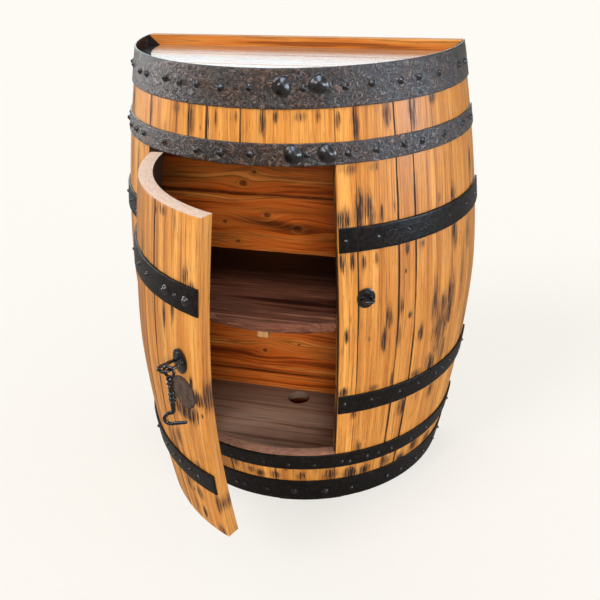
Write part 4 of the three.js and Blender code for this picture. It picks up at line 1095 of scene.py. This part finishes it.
shaft = sweep(path, radii, (0, 1, 0), 16)
addPiece("latch_hook_iron", fromLatch(shaft[0], latch["restAngle"]), joinParts([shaft])[1], "hook",
         [blackIron], ("latch_hook",))
print("latch made")

# ---- floor, light and camera
stage = {
    "paper": (0.975, 0.955, 0.908),
    "paperDiffuse": 0.36,
    "paperLight": 1.03,
    "worldStrength": 0.58,
    "keyStrength": 1.15,
    "keyAngle": 24,
    "frontStrength": 1.6,
    "fillStrength": 0.45,
    "glareStrength": 1.18,
    "glossyWorld": 0.16,
    "glossyFloor": 0.26,
    "leftStrength": 1.7,
    "boxStrength": 3.2,
    "topStrength": 2.4,
}


def seenDirectly(tree):
    path = addNode(tree, "ShaderNodeLightPath")
    seen = maths(tree, "MAXIMUM", path.outputs["Is Camera Ray"], path.outputs["Is Glossy Ray"])
    return maths(tree, "MAXIMUM", seen, path.outputs["Is Transmission Ray"])


floorMesh = bpy.data.meshes.new("floor")
floorMesh.from_pydata([(-30, -30, 0), (30, -30, 0), (30, 30, 0), (-30, 30, 0)], [], [(0, 1, 2, 3)])
floor = bpy.data.objects.new("floor", floorMesh)
bpy.context.scene.collection.objects.link(floor)
paper = bpy.data.materials.new("paper")
paper.use_nodes = True
tree = paper.node_tree
tree.nodes.clear()
lit = addNode(tree, "ShaderNodeBsdfDiffuse", {"Color": (0.82, 0.80, 0.76, 1)})
share = stage["paperDiffuse"]
shown = addNode(tree, "ShaderNodeBsdfDiffuse", {"Color": (*(c * share for c in stage["paper"]), 1)})
# the floor's glow fades out under the cask, leaving painted shade there
fromMiddle = addNode(tree, "ShaderNodeVectorMath", {0: grainVector(tree, False)}, operation="LENGTH").outputs["Value"]
glow = addNode(tree, "ShaderNodeEmission", {"Color": (*(c * (1 - share * stage["paperLight"]) for c in stage["paper"]), 1),
               "Strength": spread(tree, fromMiddle, 0.20, 0.28)})
both = addNode(tree, "ShaderNodeAddShader", {0: shown.outputs[0], 1: glow.outputs[0]})
dim = addNode(tree, "ShaderNodeBsdfDiffuse", {"Color": (*(c * stage["glossyFloor"] for c in stage["paper"]), 1)})
pick = addNode(tree, "ShaderNodeMixShader", {0: seenDirectly(tree), 1: lit.outputs[0], 2: both.outputs[0]})
glossy = addNode(tree, "ShaderNodeLightPath").outputs["Is Glossy Ray"]
pick = addNode(tree, "ShaderNodeMixShader", {0: glossy, 1: pick.outputs[0], 2: dim.outputs[0]})
addNode(tree, "ShaderNodeOutputMaterial", {"Surface": pick.outputs[0]})
floorMesh.materials.append(paper)

world = bpy.data.worlds.new("studio")
bpy.context.scene.world = world
world.use_nodes = True
tree = world.node_tree
tree.nodes.clear()
light = addNode(tree, "ShaderNodeBackground", {"Color": (1.0, 0.985, 0.965, 1), "Strength": stage["worldStrength"]})
back = addNode(tree, "ShaderNodeBackground", {"Color": (*stage["paper"], 1), "Strength": 1.0})
dim = addNode(tree, "ShaderNodeBackground", {"Color": (0.94, 0.97, 1.0, 1), "Strength": stage["glossyWorld"]})
path = addNode(tree, "ShaderNodeLightPath")
pick = addNode(tree, "ShaderNodeMixShader", {0: path.outputs["Is Glossy Ray"], 1: light.outputs[0], 2: dim.outputs[0]})
pick = addNode(tree, "ShaderNodeMixShader", {0: path.outputs["Is Camera Ray"], 1: pick.outputs[0], 2: back.outputs[0]})
addNode(tree, "ShaderNodeOutputWorld", {"Surface": pick.outputs[0]})


def addSun(name, strength, angle, direction, colour, glossyOnly=False, glossy=True):
    lamp = bpy.data.lights.new(name, "SUN")
    lamp.energy = strength
    lamp.angle = math.radians(angle)
    lamp.color = colour
    item = bpy.data.objects.new(name, lamp)
    bpy.context.scene.collection.objects.link(item)
    x, y, z = direction
    item.rotation_euler = (math.atan2(math.hypot(x, y), z), 0, math.atan2(x, -y))
    item.visible_diffuse, item.visible_glossy = not glossyOnly, glossy
    return item


addSun("key", stage["keyStrength"], stage["keyAngle"], (-0.80, -1.0, 1.05), (1.0, 0.98, 0.95))
addSun("front", stage["frontStrength"], 20, (0.30, -1.0, 0.42), (1.0, 0.98, 0.95), glossy=False)
addSun("fill", stage["fillStrength"], 50, (1.0, -0.6, 0.7), (0.96, 0.98, 1.0))
# seen only as a shine on the top boards and the hoops' edges
addSun("glare", stage["glareStrength"], 46, (-0.34, 1.0, 0.20), (0.72, 0.92, 1.0), True)
addSun("leftBox", stage["leftStrength"], 34, (-1.0, 0.25, -0.02), (0.95, 0.97, 1.0), True)
addSun("rightBox", stage["boxStrength"], 26, (1.0, -0.06, 0.0), (0.66, 0.82, 1.0), True)
addSun("topBox", stage["topStrength"], 36, (0.1, -0.10, 1.0), (0.62, 0.76, 1.0), True)

view = {
    "place": (0.3928, -1.5254, 1.1355),
    "yaw": 14.846,
    "pitch": 27.465,
    "roll": -1.346,
    "lens": 46.007,
}
camera = bpy.data.objects.new("camera", bpy.data.cameras.new("camera"))
bpy.context.scene.collection.objects.link(camera)
camera.data.sensor_width = 36
camera.data.lens = view["lens"]
yaw, pitch, roll = (math.radians(view[k]) for k in ("yaw", "pitch", "roll"))
forward = np.array([-math.sin(yaw) * math.cos(pitch), math.cos(yaw) * math.cos(pitch), -math.sin(pitch)])
right = np.array([math.cos(yaw), math.sin(yaw), 0])
upward = np.cross(right, forward)
rightRolled = math.cos(roll) * right + math.sin(roll) * upward
upRolled = -math.sin(roll) * right + math.cos(roll) * upward
turnMatrix = np.stack([rightRolled, upRolled, -forward], 1)
camera.matrix_world = Matrix.Translation(view["place"]) @ Matrix(turnMatrix.tolist()).to_4x4()
camera.data.clip_start, camera.data.clip_end = 0.05, 100
bpy.context.scene.camera = camera
bpy.context.scene.view_settings.view_transform = "Standard"
